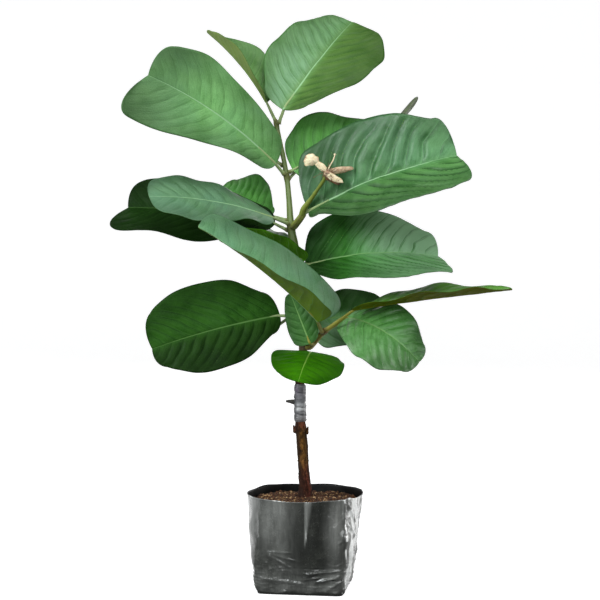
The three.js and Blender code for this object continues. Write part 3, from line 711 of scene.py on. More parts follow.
def bark_surface():
    p = Paint("bark", 0.8, Specular_IOR_Level=0.12)
    place, stretched = p.here(), p.here(0.35)
    high = p.put("SeparateXYZ", {0: place}, "Z")
    drift = p.add(high, p.times(p.less_half(p.grain(place, 90.0)), 0.03))
    zones = [
        (0.0, (0.13, 0.032, 0.018)), (0.1, (0.14, 0.042, 0.022)), (0.18, (0.12, 0.055, 0.01)),
        (0.36, (0.13, 0.06, 0.01)), (0.44, (0.12, 0.05, 0.012)), (0.5, (0.14, 0.042, 0.02)),
        (1.0, (0.05, 0.03, 0.009)),
    ]
    p.body = p.ramp(p.span(drift, 0.066, 0.176), zones)
    patch = p.grain(stretched, 420.0, 5.0, 0.7)
    p.over((0.022, 0.009, 0.003), p.span(patch, 0.38, 0.56, 0.75, 0.0))
    p.over((0.19, 0.11, 0.03), p.span(p.grain(stretched, 900.0, 3.0), 0.58, 0.72, 0.0, 0.45))
    p.over((0.3, 0.2, 0.12), p.span(p.cells(place, 260.0), 0.09, 0.17, 0.7, 0.0))
    # a golden strip on the front: partly bark colour, partly painted highlight
    strip_high = p.times(p.span(high, 0.084, 0.09), p.span(high, 0.118, 0.108))
    strip = p.times(p.read("front"), p.span(patch, 0.4, 0.6), strip_high, 0.75)
    p.over((0.27, 0.12, 0.025), strip)
    # painted shade in the fissures and hollows of the bark, and on the buds
    p.over((0.012, 0.006, 0.004), p.span(p.read("depth"), 0.0, 1.0, 0.75, 0.0))
    # painted shade on the trunk's left side and, less, on its right side
    p.over((0.01, 0.005, 0.003), p.span(p.read("weather"), 0.0, 1.0, 0.8, 0.0))
    relief = p.bump(p.grain(stretched, 1500.0), 0.0004)
    return p.done(Normal=relief, Roughness=p.span(patch, 0.3, 0.7, 0.9, 0.6))


def stem_surface(name, pale, side, node, roughness=0.5):
    """Young bark: pale flats between darker, browner corners, brown at the leaf nodes and where it is old."""
    p = Paint(name, roughness, Specular_IOR_Level=0.22)
    streak = p.grain(p.here(0.2), 700.0)
    corner = p.add(p.read("corner"), p.less_half(streak), clamp=True)
    p.body = p.mix(p.span(corner, 0.25, 0.75), pale, side)
    p.over(node, p.span(p.read("node"), 0.2, 0.9, 0.0, 0.85))
    p.over((0.3, 0.24, 0.12), p.span(p.grain(p.here(), 1400.0, 2.0), 0.6, 0.72, 0.0, 0.5))
    p.over((0.05, 0.024, 0.012), p.span(p.read("old"), 0.0, 1.0, 0.0, 0.9))
    wear = p.span(streak, 0.3, 0.7, roughness - 0.08, roughness + 0.12)
    return p.done(Normal=p.bump(streak, 0.00025), Roughness=wear)


def tape_surface():
    """Stretched grey film, whitened in bands, with a violet cast at its upper left, painted shade along the
    edges of its turns and painted shade on its left and right sides.
    """
    p = Paint("tape_film", 0.32)
    place = p.here()
    high = p.put("SeparateXYZ", {0: place}, "Z")
    streak = p.grain(p.here(2.2, 0.5), 420.0)
    drift = p.add(high, p.times(p.less_half(streak), 0.004))
    bands = [
        (0.0, (0.13, 0.12, 0.12)), (0.2, (0.17, 0.165, 0.17)), (0.29, (0.62, 0.62, 0.62)),
        (0.37, (0.2, 0.2, 0.2)), (0.46, (0.33, 0.33, 0.34)), (0.55, (0.15, 0.15, 0.155)),
        (0.8, (0.17, 0.16, 0.18)), (1.0, (0.1, 0.095, 0.1)),
    ]
    p.body = p.ramp(p.span(drift, 0.122, 0.152), bands)
    spot = p.put("VectorMath", {0: place, 1: (-0.0095, -0.004, 0.1465)}, "Value", operation="DISTANCE")
    dark = (0.05, 0.05, 0.055)
    p.over((0.13, 0.06, 0.16), p.span(spot, 0.002, 0.0055, 0.75, 0.0))
    p.over((0.4, 0.4, 0.41), p.span(streak, 0.55, 0.75, 0.0, 0.6))
    p.over(dark, p.span(streak, 0.25, 0.42, 0.6, 0.0))
    # painted shade along the edges of the turns
    p.over(dark, p.span(p.read("wrap_edge_shade"), 0.2, 0.9, 0.0, 0.65))
    # painted shade on the tape's left and right sides
    p.over((0.022, 0.022, 0.026), p.span(p.read("weather"), 0.0, 1.0, 0.85, 0.0))
    return p.done(Normal=p.bump(streak, 0.0003), Roughness=p.span(streak, 0.3, 0.7, 0.22, 0.5))


def film_surface():
    """Black polythene: painted sheen, reflections and glints, partly clouding where it is stretched; scuffed,
    and finely wrinkled down its length.
    """
    p = Paint("bag_film", 0.2, Specular_IOR_Level=0.45, Coat_Weight=0.4, Coat_Roughness=0.06)
    place = p.here()
    dust = p.grain(place, 60.0, 5.0, 0.7)
    p.body = p.mix(p.span(dust, 0.45, 0.75), (0.0085, 0.0098, 0.0075), (0.022, 0.024, 0.019))
    # painted sheen and reflections, partly clouding of the stretched film, in patches
    patches = p.span(p.grain(p.here(0.12), 170.0, 5.0, 0.65), 0.25, 0.75, 0.45, 1.25)
    sheen_and_cloud = p.times(p.read("sheen_and_bloom"), patches)
    p.over((0.235, 0.24, 0.225), sheen_and_cloud)
    # painted white glints, and the bright right panel, where the painted sheen is strongest
    p.over((0.9, 0.91, 0.89), p.span(sheen_and_cloud, 0.66, 1.0))
    scuff = p.span(p.grain(p.here(0.5), 900.0, 4.0, 0.7), 0.6, 0.72)
    p.over((0.25, 0.25, 0.24), p.times(scuff, p.span(dust, 0.4, 0.6, 0.05, 0.32)))
    dents = p.bump(p.grain(place, 160.0), 0.0008, 0.8)
    wrinkles = p.bump(p.grain(p.here(0.25), 500.0, 3.0), 0.0002, 0.8, Normal=dents)
    return p.done(Normal=wrinkles, Roughness=p.span(dust, 0.35, 0.75, 0.14, 0.34))


def plain_film():
    p = Paint("bag_film_inside", 0.5, Specular_IOR_Level=0.12)
    p.body = p.mix(p.span(p.grain(p.here(), 200.0), 0.4, 0.7), (0.003, 0.003, 0.003), (0.008, 0.007, 0.006))
    return p.done()


def soil_surface(name, dark, light, speck):
    p = Paint(name, 0.95)
    clump = p.grain(p.here(), 500.0, 5.0, 0.7)
    p.body = p.mix(p.span(clump, 0.35, 0.65), dark, light)
    p.over(speck, p.span(p.cells(p.here(), 700.0), 0.12, 0.22, 0.8, 0.0))
    return p.done(Normal=p.bump(clump, 0.0008))


def petal_surface(name, pale, shade):
    p = Paint(name, 0.7, Subsurface_Weight=0.15, Subsurface_Scale=0.002)
    vein = p.grain(p.here(), 500.0, 4.0, 0.7, 0.4)
    p.body = p.mix(p.span(vein, 0.3, 0.6), shade, pale)
    p.over(shade, p.span(p.read("edge"), 0.75, 1.0, 0.0, 0.55))
    return p.done(Normal=p.bump(vein, 0.0002))


# ---------------------------------------------------------------- leaves
THICK = 0.42
FOLD_ROUND = 1.2  # mm2, how softly the two halves meet at the midrib
BLADE_COLUMNS = 48


def blade_length(shape):
    return np.linalg.norm(np.subtract(shape["tip"], shape["base"]))


def half_width(half, s):
    """A half blade's width: its stations, closed round at the base and the tip."""
    over = np.clip(np.maximum(1 - s / END_ROUND, 1 - (1 - s) / half["tip"]), 0, 1)
    closing = np.maximum(1 - over**2.3, 0) ** np.where(s > 0.5, half["close"], 0.5)
    return flowing(half["widths"], (s - 0.1) / 0.8) * closing


def width_at(shape, s, v):
    left, right = shape["halves"]
    return np.where(v < 0, half_width(left, s), half_width(right, s))


def blade_point(shape, s, v):
    """The blade's mid-surface at s from base to tip and v from the left margin (-1) to the right (1)."""
    base, tip = np.array(shape["base"], float), np.array(shape["tip"], float)
    chord = tip - base
    ahead = unit(chord)
    face = np.array(shape["face"], float)
    up = unit(face - ahead * (face @ ahead))
    across = np.cross(ahead, up)
    s, v = np.broadcast_arrays(np.asarray(s, float), np.asarray(v, float))
    bulge = (4 * s * (1 - s))[..., None]
    midrib = base + chord * s[..., None] + up * shape["arch"] * bulge + across * shape["bow"] * bulge
    reach = np.abs(v) * width_at(shape, s, v)
    lift = math.radians(shape["fold"])
    turn = (math.radians(shape["twist"]) * s)[..., None]
    up_s = up * np.cos(turn) + across * np.sin(turn)
    across_s = across * np.cos(turn) - up * np.sin(turn)
    runs = [h["forward"][0] * (1 - s) ** 3 + h["forward"][1] * s**2 for h in shape["halves"]]
    forward = reach * np.where(v < 0, *runs)
    rise = np.sqrt(reach**2 + FOLD_ROUND) - math.sqrt(FOLD_ROUND)
    return (
        midrib
        + ahead * forward[..., None]
        + across_s * (np.sign(v) * reach * math.cos(lift))[..., None]
        + up_s * (rise * math.sin(lift))[..., None]
    )


def blade_normal(shape, s, v):
    step = 1e-3
    s, v = np.broadcast_arrays(np.asarray(s, float), np.asarray(v, float))
    s = np.clip(s, 2 * step, 1 - 2 * step)
    along = blade_point(shape, s + step, v) - blade_point(shape, s - step, v)
    across = blade_point(shape, s, v + step) - blade_point(shape, s, v - step)
    return unit(np.cross(across, along))


def vein_phase(shape, s, v, pairs, seed):
    """Whole numbers lie on the side veins, which leave the midrib by turns and bend forward to the margin."""
    left, right = shape["halves"]
    reach = np.abs(v) * width_at(shape, s, v)
    forward = np.where(v < 0, left["lean"], right["lean"]) * reach * (1 + 0.6 * v * v) / blade_length(shape)
    place = flat_points(s * 4, v * 1.5, seed * 1.37)
    uneven = 0.3 * noise(place, 0.8, seed) + 0.1 * noise(place, 0.3, seed + 2)
    return pairs * (s - forward) + uneven + np.where(v < 0, 0.0, 0.45)


def add_blade(mesh, shape, look, seed):
    quilt = look["quilt"]
    length = blade_length(shape)
    rows, columns = int(max(70, 1.2 * length)), BLADE_COLUMNS
    u = np.linspace(0, 1, rows + 1)
    s1 = lerp(0.0006, 0.9994, lerp(u, (1 - np.cos(np.pi * u)) / 2, 0.75))
    v1 = np.linspace(-1, 1, columns + 1)
    s, v = np.meshgrid(s1, np.sign(v1) * np.abs(v1) ** 1.3, indexing="ij")
    width = width_at(shape, s, v)
    reach = v * width
    phase = vein_phase(shape, s, v, look["pairs"], seed)
    middle = blade_point(shape, s, v)
    normal = blade_normal(shape, s, v)

    # The quilting between the side veins, small lumps, and the wave of the margin.
    off_vein = np.abs(phase - np.round(phase)) * 2
    cell = flat_points(np.round(phase + 0.5), np.sign(v) * 3, float(seed))
    pillow = (1 - (1 - off_vein) ** 2.6) * (1 + 0.35 * noise(cell + 0.37, 1.0, seed))
    near_rib = smooth(np.abs(reach), 0.4, 6.0)
    ends = smooth(np.sin(np.pi * s), 0.02, 0.5)
    height = 1.5 * quilt * (pillow - 0.6) * near_rib * (1 - np.abs(v) ** 5) * ends
    flat = flat_points(s * length, reach, seed * 11.0)
    leaning = flat_points(phase * 2.2, v * 2.0, seed * 1.3)
    height += 0.16 * quilt * noise(flat, 3.2, seed) + 0.5 * quilt * noise(flat, 15, seed + 5)
    height += 0.3 * quilt * noise(leaning, 0.8, seed + 9) * near_rib
    wave = np.sin(TURN * (s * (2.3 + 0.35 * (seed % 4)) + 0.31 * seed + np.where(v < 0, 0.0, 0.4)))
    height += look["ripple"] * wave * np.abs(v) ** 2.5 * smooth(width, 2, 16)
    rib_half = lerp(0.85, 0.26, s)
    rib = hump(reach, rib_half)
    top = middle + normal * (height - 0.22 * rib)[..., None]

    # The lower side, with its standing midrib and side veins.
    thick = THICK * (1 - 0.45 * smooth(np.abs(v), 0.9, 1.0))
    ridge = lerp(1.0, 0.18, s**0.7) * np.sqrt(np.maximum(1 - (reach / (rib_half * 1.25)) ** 2, 0))
    side_ridge = 0.16 * hump(off_vein, 0.16) * near_rib * (1 - np.abs(v) ** 3)
    under = top - normal * (thick + ridge * smooth(width, 0.5, 5) + side_ridge)[..., None]

    n = s.size
    index = np.arange(n).reshape(s.shape)
    rim = np.concatenate([index[0], index[1:, -1], index[-1, -2::-1], index[-2:0:-1, 0]])
    after = np.roll(rim, -1)
    faces = [
        grid_faces(rows + 1, columns + 1, flip=True),
        grid_faces(rows + 1, columns + 1, start=n),
        np.stack([after, after + n, rim + n, rim], -1),
    ]
    shared = {"along": s * length, "across": reach, "spread": np.abs(v), "phase": phase, "rib": rib}
    both = {key: np.tile(x.ravel(), 2) for key, x in shared.items()}
    mesh.add(np.stack([top, under]), faces, upper=np.repeat([1.0, 0.0], n), **both)


def add_petiole(mesh, shape):
    """The stalk: swollen where it leaves its limb, and running on under the blade's midrib."""
    start = clear_of(shape["limb"], shape["at"], shape["base"], PETIOLE_RADIUS, -0.5)

    def under(s):
        return (blade_point(shape, s, 0.0) - blade_normal(shape, s, 0.0) * PETIOLE_RADIUS / 2).reshape(3)

    route = Curve([start, (start + under(0.02)) / 2, under(0.03), under(PETIOLE_RUN)])
    t = np.linspace(0, 1, 70)
    sides = 20
    plump = 1.35 if shape["limb"] == "front_shoot" else 1.2
    radius = PETIOLE_RADIUS * lerp(plump, 0.5, smooth(t, 0.1, 1.0)) + 0.55 * hump(t * route.length, 2.2)
    channel = 1 - 0.1 * hump(angle_from(turns(sides), math.pi / 2), 0.5)
    swollen = hump(t * route.length, 2.5)
    add_tube(mesh, route.at(t), radius[:, None] * channel, sides, slot=1, start=(0, -0.3, 1), node=swollen)


def make_leaf(index, name):
    shape, look = LEAVES[name], LOOKS[name]
    for half, close, lean in zip(shape["halves"], look["close"], look["lean"]):
        half.update(tip=look["tip"], close=close, lean=lean)
    mesh = Shape()
    add_blade(mesh, shape, look, index + 3)
    add_petiole(mesh, shape)
    blade = leaf_surface(name, look, blade_length(shape))
    stalk = OLIVE_PETIOLE_SKIN if shape["limb"] == "front_shoot" else PETIOLE_SKIN
    mesh.build(name + "_fine", [blade, stalk], replaces=[name])


# ---------------------------------------------------------------- trunk, shoots and tape
SCARS = (84.0, 93.5, 104.0, 166.0)  # heights of the ring scars on the trunk
TAPE_ENDS = (123.0, 151.0)
TAPE_TURNS = 5.2


def limb_path(name, step):
    curve = limb_curve(name)
    t = np.linspace(0, 1, max(8, int(curve.length / step)) + 1)
    return curve, t


def quiet_ends(t, length, reach):
    """Nothing at a limb's two ends, and 1 from a reach in mm away from them."""
    return smooth(np.minimum(t * length, (1 - t) * length), 0, reach)[:, None]


def make_trunk():
    curve, t = limb_path("trunk", 0.42)
    sides = 84
    path = curve.at(t)
    z = path[:, 2:]
    angle = turns(sides)
    ring = round_points(angle, z, 4.2)
    fissure = 1 - np.abs(rough(ring, (1.3, 1.3, 7.0), 5, 3))
    flake = noise(ring, (2.4, 2.4, 4.5), 9)
    lump = noise(ring, (4.5, 4.5, 9.0), 21)
    relief = 0.28 * lump + 0.22 * flake - 0.5 * smooth(fissure, 0.82, 1.0) + 0.1 * noise(ring, 0.7, 33)
    scar = sum(hump(z - h, 0.45) * (0.5 + 0.5 * noise(ring, 3.0, int(h))) for h in SCARS)
    relief = relief + 0.45 * scar
    radius = limb_radius("trunk", t)[:, None] + relief * quiet_ends(t, curve.length, 1.5)
    right = np.cos(angle)
    # how lit each side of the trunk is: painted shade falls on the left side and, less, on the right
    weather = smooth(right + 0.35 * noise(ring, 5.0, 61), -0.75, 0.15)
    weather = weather * (1 - 0.75 * smooth(right + 0.25 * noise(ring, 4.0, 63), 0.4, 0.95))
    front = hump(angle_from(angle, -0.56 * math.pi), 0.5)[None, :]
    mesh = Shape()
    # depth carries painted shade into the fissures; front places the painted highlight
    add_tube(mesh, path, radius, sides, depth=smooth(relief, -0.45, 0.05), weather=weather, front=front)
    bud_share = LIMBS["trunk"]["nodes"][0]
    centre = curve.at(bud_share)[0]
    out = float(limb_radius("trunk", bud_share)) - 0.5
    for side in (-1, 1):
        foot = centre + np.array([side * out, 0.0, -1.8 - 0.5 * side])
        for k in range(5):
            lean = np.array([side * (0.3 + 0.28 * k), -0.2 * math.sin(k * 2.1), -1.4 + 0.95 * k])
            size = (1.75 - 0.27 * k, 1.9 - 0.3 * k, 1.5 - 0.12 * k)
            # the buds take some of the painted shade
            add_blob(mesh, foot + lean, size, 40 + k, 9, 16, 0.12, depth=0.35 + 0.15 * (k % 2), weather=0.8)
    mesh.build("trunk_bark", [BARK_SKIN], replaces=["trunk"])


def bud(mesh, centre, out, size, seed, **values):
    """A small bud: overlapping scales that lie along a direction."""
    out = unit(np.array(out, float))
    a = unit(np.cross(out, (0.0, 1.0, 0.3)))
    spin = np.stack([a, np.cross(out, a), out], -1)
    for k in range(3):
        place = centre + out * size * 0.55 * k
        sizes = (size * (0.62 - 0.14 * k), size * (0.5 - 0.1 * k), size * 0.75)
        add_blob(mesh, place, sizes, seed + k, 7, 12, 0.12, spin, **values)


def make_shoot(name, material, square=0.07):
    """A young limb with its four corners, its leaf nodes and the buds that sit on them."""
    curve, t = limb_path(name, 0.55)
    limb = LIMBS[name]
    leader = name == "main_shoot"
    sides = 56
    angle = turns(sides)
    z = (t * curve.length)[:, None]
    corner = np.cos(4 * (angle - math.pi / 4))[None, :]
    ring = round_points(angle, z, 3.0)
    relief = 0.09 * noise(ring, (1.1, 1.1, 9.0), 3) + 0.12 * noise(ring, (3, 3, 6), 8)
    ridge = sum((hump((t - at) * curve.length - 1.2, 0.35) for at in limb["nodes"]), np.zeros_like(t))
    relief = relief + 0.22 * ridge[:, None]
    radius = limb_radius(name, t)[:, None] * (1 + square * corner) + relief * quiet_ends(t, curve.length, 1.0)
    if leader:
        radius = radius + 0.7 * hump(t - 0.45, 0.14)[:, None]
    old = 1 - smooth(z, 5.0, 16.0) if leader else 0.0
    mesh = Shape()
    swell = np.clip(node_swell(name, t), 0, 1)
    add_tube(mesh, curve.at(t), radius, sides, corner=0.5 + 0.5 * corner, node=swell, old=old)
    if leader:
        for k, at in enumerate(limb["nodes"][:4]):
            centre, reach = curve.at(at)[0], 0.85 * float(limb_radius(name, at))
            for turn in (0.5 + 1.57 * k, 0.5 + 1.57 * k + math.pi):
                out = np.array([math.cos(turn), math.sin(turn), 0.0])
                foot = centre + out * reach + np.array([0, 0, 1.6])
                bud(mesh, foot, out + np.array([0, 0, 1.1]), 1.5, 60 + k, node=0.8, corner=0.6)
    mesh.build(name + "_skin", [material], replaces=[name])


def make_tape():
    """Film wound up the trunk in five turns, each lying over the one below, with the cut twig it binds in."""
    curve = limb_curve("trunk")
    shares = np.linspace(0, 1, 600)
    low, high = (np.interp(h, curve.at(shares)[:, 2], shares) for h in TAPE_ENDS)
    rows, sides = 120, 90
    t = np.linspace(low, high, rows)
    path = curve.at(t)
    angle = turns(sides)
    right = np.cos(angle)
    wrap = (t[:, None] - low) / (high - low) * TAPE_TURNS + (angle / TURN) * 0.9 + 0.25
    edge = wrap - np.floor(wrap)
    ring = round_points(angle, path[:, 2:], 4.8)
    step = 0.45 * (1 - edge) ** 0.6 * (0.7 + 0.4 * noise(flat_points(np.floor(wrap) * 2.3, 0.0, 0.0), 1.0, 3))
    x, y, z = np.moveaxis(ring, -1, 0)
    crease = 1 - np.abs(noise(flat_points(x, y, z * 2.4 + x * 0.8), (5.0, 5.0, 2.6), 12))
    pulled = smooth(np.cos(angle - 0.2), 0.2, 1.0) * noise(ring, 3.2, 44)
    relief = step + 0.22 * smooth(crease, 0.6, 1.0) + 0.25 * rough(ring, 4.5, 31, 2) + 0.35 * pulled
    limb = limb_radius("trunk", t)[:, None]
    inward = smooth(np.minimum(np.arange(rows), rows - 1 - np.arange(rows)), 0, 5)[:, None]
    outer = lerp(limb + 0.28, limb + 0.55 + np.maximum(relief, -0.1), inward)
    a, b = carried_frames(path)
    out = a[:, None] * right[:, None] + b[:, None] * np.sin(angle)[:, None]
    skin = path[:, None] + out * outer[..., None]
    lining = path[:, None] + out * (limb - 0.9)[..., None]
    # painted shade on the tape's two sides, and along the edges of its turns
    weather = smooth(right, -0.95, -0.2) * (1 - 0.8 * smooth(right, 0.75, 1.0)) + 0 * z
    wrap_edge_shade = np.maximum(hump(edge, 0.14), hump(1 - edge, 0.1)) * smooth(noise(ring, 4.0, 51), -0.7, 0.2)
    n = rows * sides
    k = np.arange(sides)
    foot = np.stack([k, n + k, n + (k + 1) % sides, (k + 1) % sides], -1)
    walls = [grid_faces(rows, sides, wrap=True), grid_faces(rows, sides, wrap=True, flip=True, start=n)]
    mesh = Shape()
    both = {"weather": np.tile(weather.ravel(), 2), "wrap_edge_shade": np.tile(wrap_edge_shade.ravel(), 2)}
    mesh.add(np.stack([skin, lining]), [*walls, foot, foot[:, ::-1] + n - sides], **both)
    root = curve.at((low + high) / 2)[0] + np.array([-3.6, 0, 0.4])
    stub = Curve([root, root + [-2.4, -0.2, 0.4], root + [-5.2, -0.4, 0.7], root + [-6.9, -0.5, 0.7]])
    w = np.linspace(0, 1, 40)
    bark = 0.12 * noise(flat_points(w * 14, 0.0, 0.0), 1.3, 5)
    add_tube(mesh, stub.at(w), np.clip(2.1 - 1.25 * w + bark, 0.7, 3), 24, slot=1, start=(0, 0, 1), depth=0.3)
    mesh.build("tape_wound", [TAPE_SKIN, STUB_SKIN], replaces=["graft_tape"])


# ---------------------------------------------------------------- the bag and its soil
def bag_plan(angle, z, inset=0.0, sharper=0.0):
    """The bag's plan at a height: square at the foot and round at the rim."""
    rise = np.clip(z / BAG_HEIGHT, 0, 1)
    power = lerp(BAG_FOOT["power"], BAG_RIM["power"], smooth(rise, 0.2, 1))
    power = power + sharper * (1 - smooth(rise, 0.0, 0.5))
    half = lerp(BAG_FOOT["half"], BAG_RIM["half"], rise)
    c, s = np.cos(angle), np.sin(angle)
    reach = (np.abs(c) ** power + np.abs(s) ** power) ** (-1 / power)
    x, y = c * (reach * half - inset), s * (reach * half - inset)
    turn_c, turn_s = math.cos(BAG_TURN), math.sin(BAG_TURN)
    return np.stack([x * turn_c - y * turn_s, x * turn_s + y * turn_c], -1)


def tent(x):
    return np.abs(x - np.floor(x) - 0.5) * 2


# Folds of the front film: from and to (around the bag from the front's middle, height), width and height.
FOLDS = [
    ((7.6, 71), (6.9, 42), 1.4, 1.0),
    ((35.4, 71), (34.6, 49), 0.9, 2.0),
    ((34.6, 49), (31.0, 42), 1.0, 1.6),
    ((33.5, 44), (29.5, 38), 0.9, 1.2),
    ((-23, 30), (-2, 18), 1.2, 1.0),
    ((-23, 30), (-7, 12), 1.1, 0.85),
    ((-23, 31), (2, 25), 1.2, 0.85),
    ((-23, 32), (-3, 32), 1.1, 0.7),
    ((-26, 26), (-18, 8), 1.1, 1.1),
    ((6, 16), (31, 19), 1.5, 1.6),
    ((14, 10), (33, 15), 1.1, 1.4),
    ((2, 12), (20, 14), 1.2, 1.0),
    ((25, 6), (36, 13), 0.9, 1.4),
    ((-30, 12), (8, 8.5), 1.3, 1.0),
    ((-31, 60), (-27, 35), 1.8, 0.7),
    ((40, 66), (52, 48), 1.4, 1.3),
    ((38, 52), (55, 38), 1.3, 1.2),
    ((44, 34), (39, 12), 1.3, 1.1),
]


# The gentle pleats of the front film: around the bag from the front's middle, and how far they stand out.
PLEATS = [
    (-60, 0), (-40, 0.3), (-31, -0.2), (-19, -0.3), (-5, 1.5), (2, 0.9), (4.5, 0.5), (10, 0.5), (16, -0.3),
    (22, -0.7), (33, 0.9), (38, 0.9), (52, 0), (70, 0),
]


def flow_through(knots, x):
    """A smooth line through uneven knots."""
    at, height = np.array(knots, float).T
    fine = np.linspace(at[0], at[-1], 700)
    line = np.interp(fine, at, height)
    window = np.hanning(41)
    padded = np.concatenate([np.full(20, line[0]), line, np.full(20, line[-1])])
    return np.interp(x, fine, np.convolve(padded, window / window.sum(), "valid"))


# The crumples all over the film: their size and how far they stand out.
CRUMPLES = [(21, 0.6), (15, 0.5), (11, 0.4), (8.5, 0.28), (6, 0.16)]

# Where the film carries its painted sheen, partly the clouding of stretched film: around the bag from the
# front's middle, and how much.
SHEEN_AND_CLOUD_BANDS = [
    (-138, 0.2), (-118, 0.5), (-100, 0.1), (-84, 0.45), (-66, 0.15), (-52, 0.4), (-38, 0.6), (-30, 0.25),
    (-20, 0.5), (-12, 0.62), (-4, 0.28), (2, 0.1), (5, 0.08), (10.5, 0.05), (16, 0.02), (21, 0.12),
    (27, 0.62), (32, 0.6), (35.5, 0.15), (38.5, 0.7), (44, 1.05), (56, 1.1), (64, 0.5), (78, 0.3),
    (92, 0.5), (104, 0.2),
    (122, 0.55), (140, 0.2),
]
# A painted bright reflection down the front, narrowing as it falls: where it starts around the bag, its
# width, and the heights it runs between.
SHEEN_WEDGE = {"at": 5.6, "width": 6.0, "from": 35.0, "to": 70.0}


def bag_sheen_and_bloom(around, z):
    """The film's painted sheen, partly clouding, from 0 to 1.3: in bands down from the rim, in a painted
    reflection wedge, along the foot, bright on the right panel, with painted glints on the corner crease and
    none at the very foot.
    """
    at, amount = np.array(SHEEN_AND_CLOUD_BANDS, float).T
    flat = flat_points(around, z, 0.0)
    drift = 2.5 * noise(flat, (30, 22, 1), 3)
    band = np.interp(around + drift * (1 - hump(around - 7.5, 6)), at, amount)
    right = smooth(around, 36, 42) * (1 - smooth(around, 66, 80))
    down = lerp(0.35 + 0.65 * smooth(z, 22, 52), 1.15, right)
    foot = 0.42 * hump(z - 9, 9) * (0.7 + 0.5 * noise(flat, (11, 5, 1), 6))
    foot = foot + 0.5 * smooth(around, 30, 37) * (1 - smooth(around, 58, 68)) * hump(z - 14, 13)
    start = SHEEN_WEDGE["at"]
    width = SHEEN_WEDGE["width"] * np.clip((z - SHEEN_WEDGE["from"]) / (SHEEN_WEDGE["to"] - SHEEN_WEDGE["from"]), 0.02, 1)
    sheen_wedge = smooth(around, start - 0.5, start) * (1 - smooth(around, start + 0.3 * width, start + width))
    rim = 0.3 * smooth(z, 69.2, 69.9)
    # painted bright and dark facets on the right panel, and painted glints along the corner crease
    facets = 1 + 0.75 * smooth(around, 37, 40) * (1 - smooth(around, 56, 66)) * noise(flat, (3.2, 6, 1), 41)
    corner = hump(around - 36.2 - 0.8 * noise(flat, (30, 5, 1), 9), 0.8)
    glint = 1.3 * corner * smooth(z, 22, 32) * smooth(noise(flat, (30, 3.0, 1), 12), -0.6, 0.2)
    hem = smooth(z, 1.2, 4.2 + 2.8 * noise(flat, (5, 30, 1), 14))
    sheen_and_cloud = band * down * facets + foot + 0.85 * sheen_wedge * smooth(z, 34, 42) + rim + glint
    return np.clip(sheen_and_cloud * hem, 0, 1.3)


def bag_relief(around, z, place):
    """How far the film stands out of its plan, in mm."""
    sheet = flow_through(PLEATS, around) * smooth(z, 4, 46)
    for (u0, z0), (u1, z1), width, height in FOLDS:
        du, dz = u1 - u0, z1 - z0
        length = math.hypot(du, dz)
        along = ((around - u0) * du + (z - z0) * dz) / length**2
        off = np.abs((around - u0) * dz - (z - z0) * du) / length
        taper = smooth(along, -0.12, 0.15) * (1 - smooth(along, 0.6, 1.1))
        w = width * lerp(1.25, 0.6, np.clip(along, 0, 1))
        sheet = sheet + height * taper * np.maximum(1 - off / (1.8 * w), 0) ** 1.4
    panel = smooth(around, 36, 44) * (1 - smooth(around, 85, 95))
    rest = 1 - hump(around, 30)
    low = 1 - smooth(z, 12, 34)
    bend = place + 2.5 * flat_points(*(noise(place, 16, seed) for seed in (3, 4, 6)))
    crumple = 0.0
    for k, (size, amount) in enumerate(CRUMPLES):
        way = unit(np.array([math.cos(k * 2.4), math.sin(k * 2.4), 0.55 * math.sin(k * 1.7 + 1)]))
        crumple = crumple + amount * (tent(bend @ way / size + 0.31 * k) - 0.5)
        other = unit(np.array([math.sin(k * 1.9), math.cos(k * 1.9), 1.1 * math.cos(k * 2.9)]))
        crumple = crumple + 0.8 * amount * (tent(bend @ other / (size * 1.2) + 0.17 * k) - 0.5)
    rim_calm = 1 - (0.93 - 0.3 * panel) * smooth(z, 48, 69)
    amount = (0.26 + 1.5 * panel + 0.7 * rest * (1 - panel) + 0.75 * low) * rim_calm
    flat = flat_points(around, z, 0.0)
    pucker = 0.4 * low * noise(flat * (1, 0.2, 1), (3.2, 3, 1), 8)
    streaky = 1 - np.abs(noise(flat + 3 * noise(flat, 14, 5)[..., None], (13, 2.4, 1), 15))
    fine = 0.45 * low * smooth(streaky, 0.72, 1.0)
    fine = fine + 0.35 * panel * (1 - np.abs(noise(place, (5, 5, 3.5), 18)))
    hem = 0.7 * (1 - smooth(z, 2.5, 5.0)) * noise(flat, (4.5, 3.0, 1), 19)
    return np.maximum(sheet + amount * crumple + pucker + fine + hem, -0.9)


def with_height(plan, z):
    return flat_points(plan[..., 0], plan[..., 1], z)


FILM = 0.4
TUCK = 0.9  # how far the film is drawn in at its very foot
FACE_SHARPER = 7.0  # what the corners of the foot gain in power over the plain plan


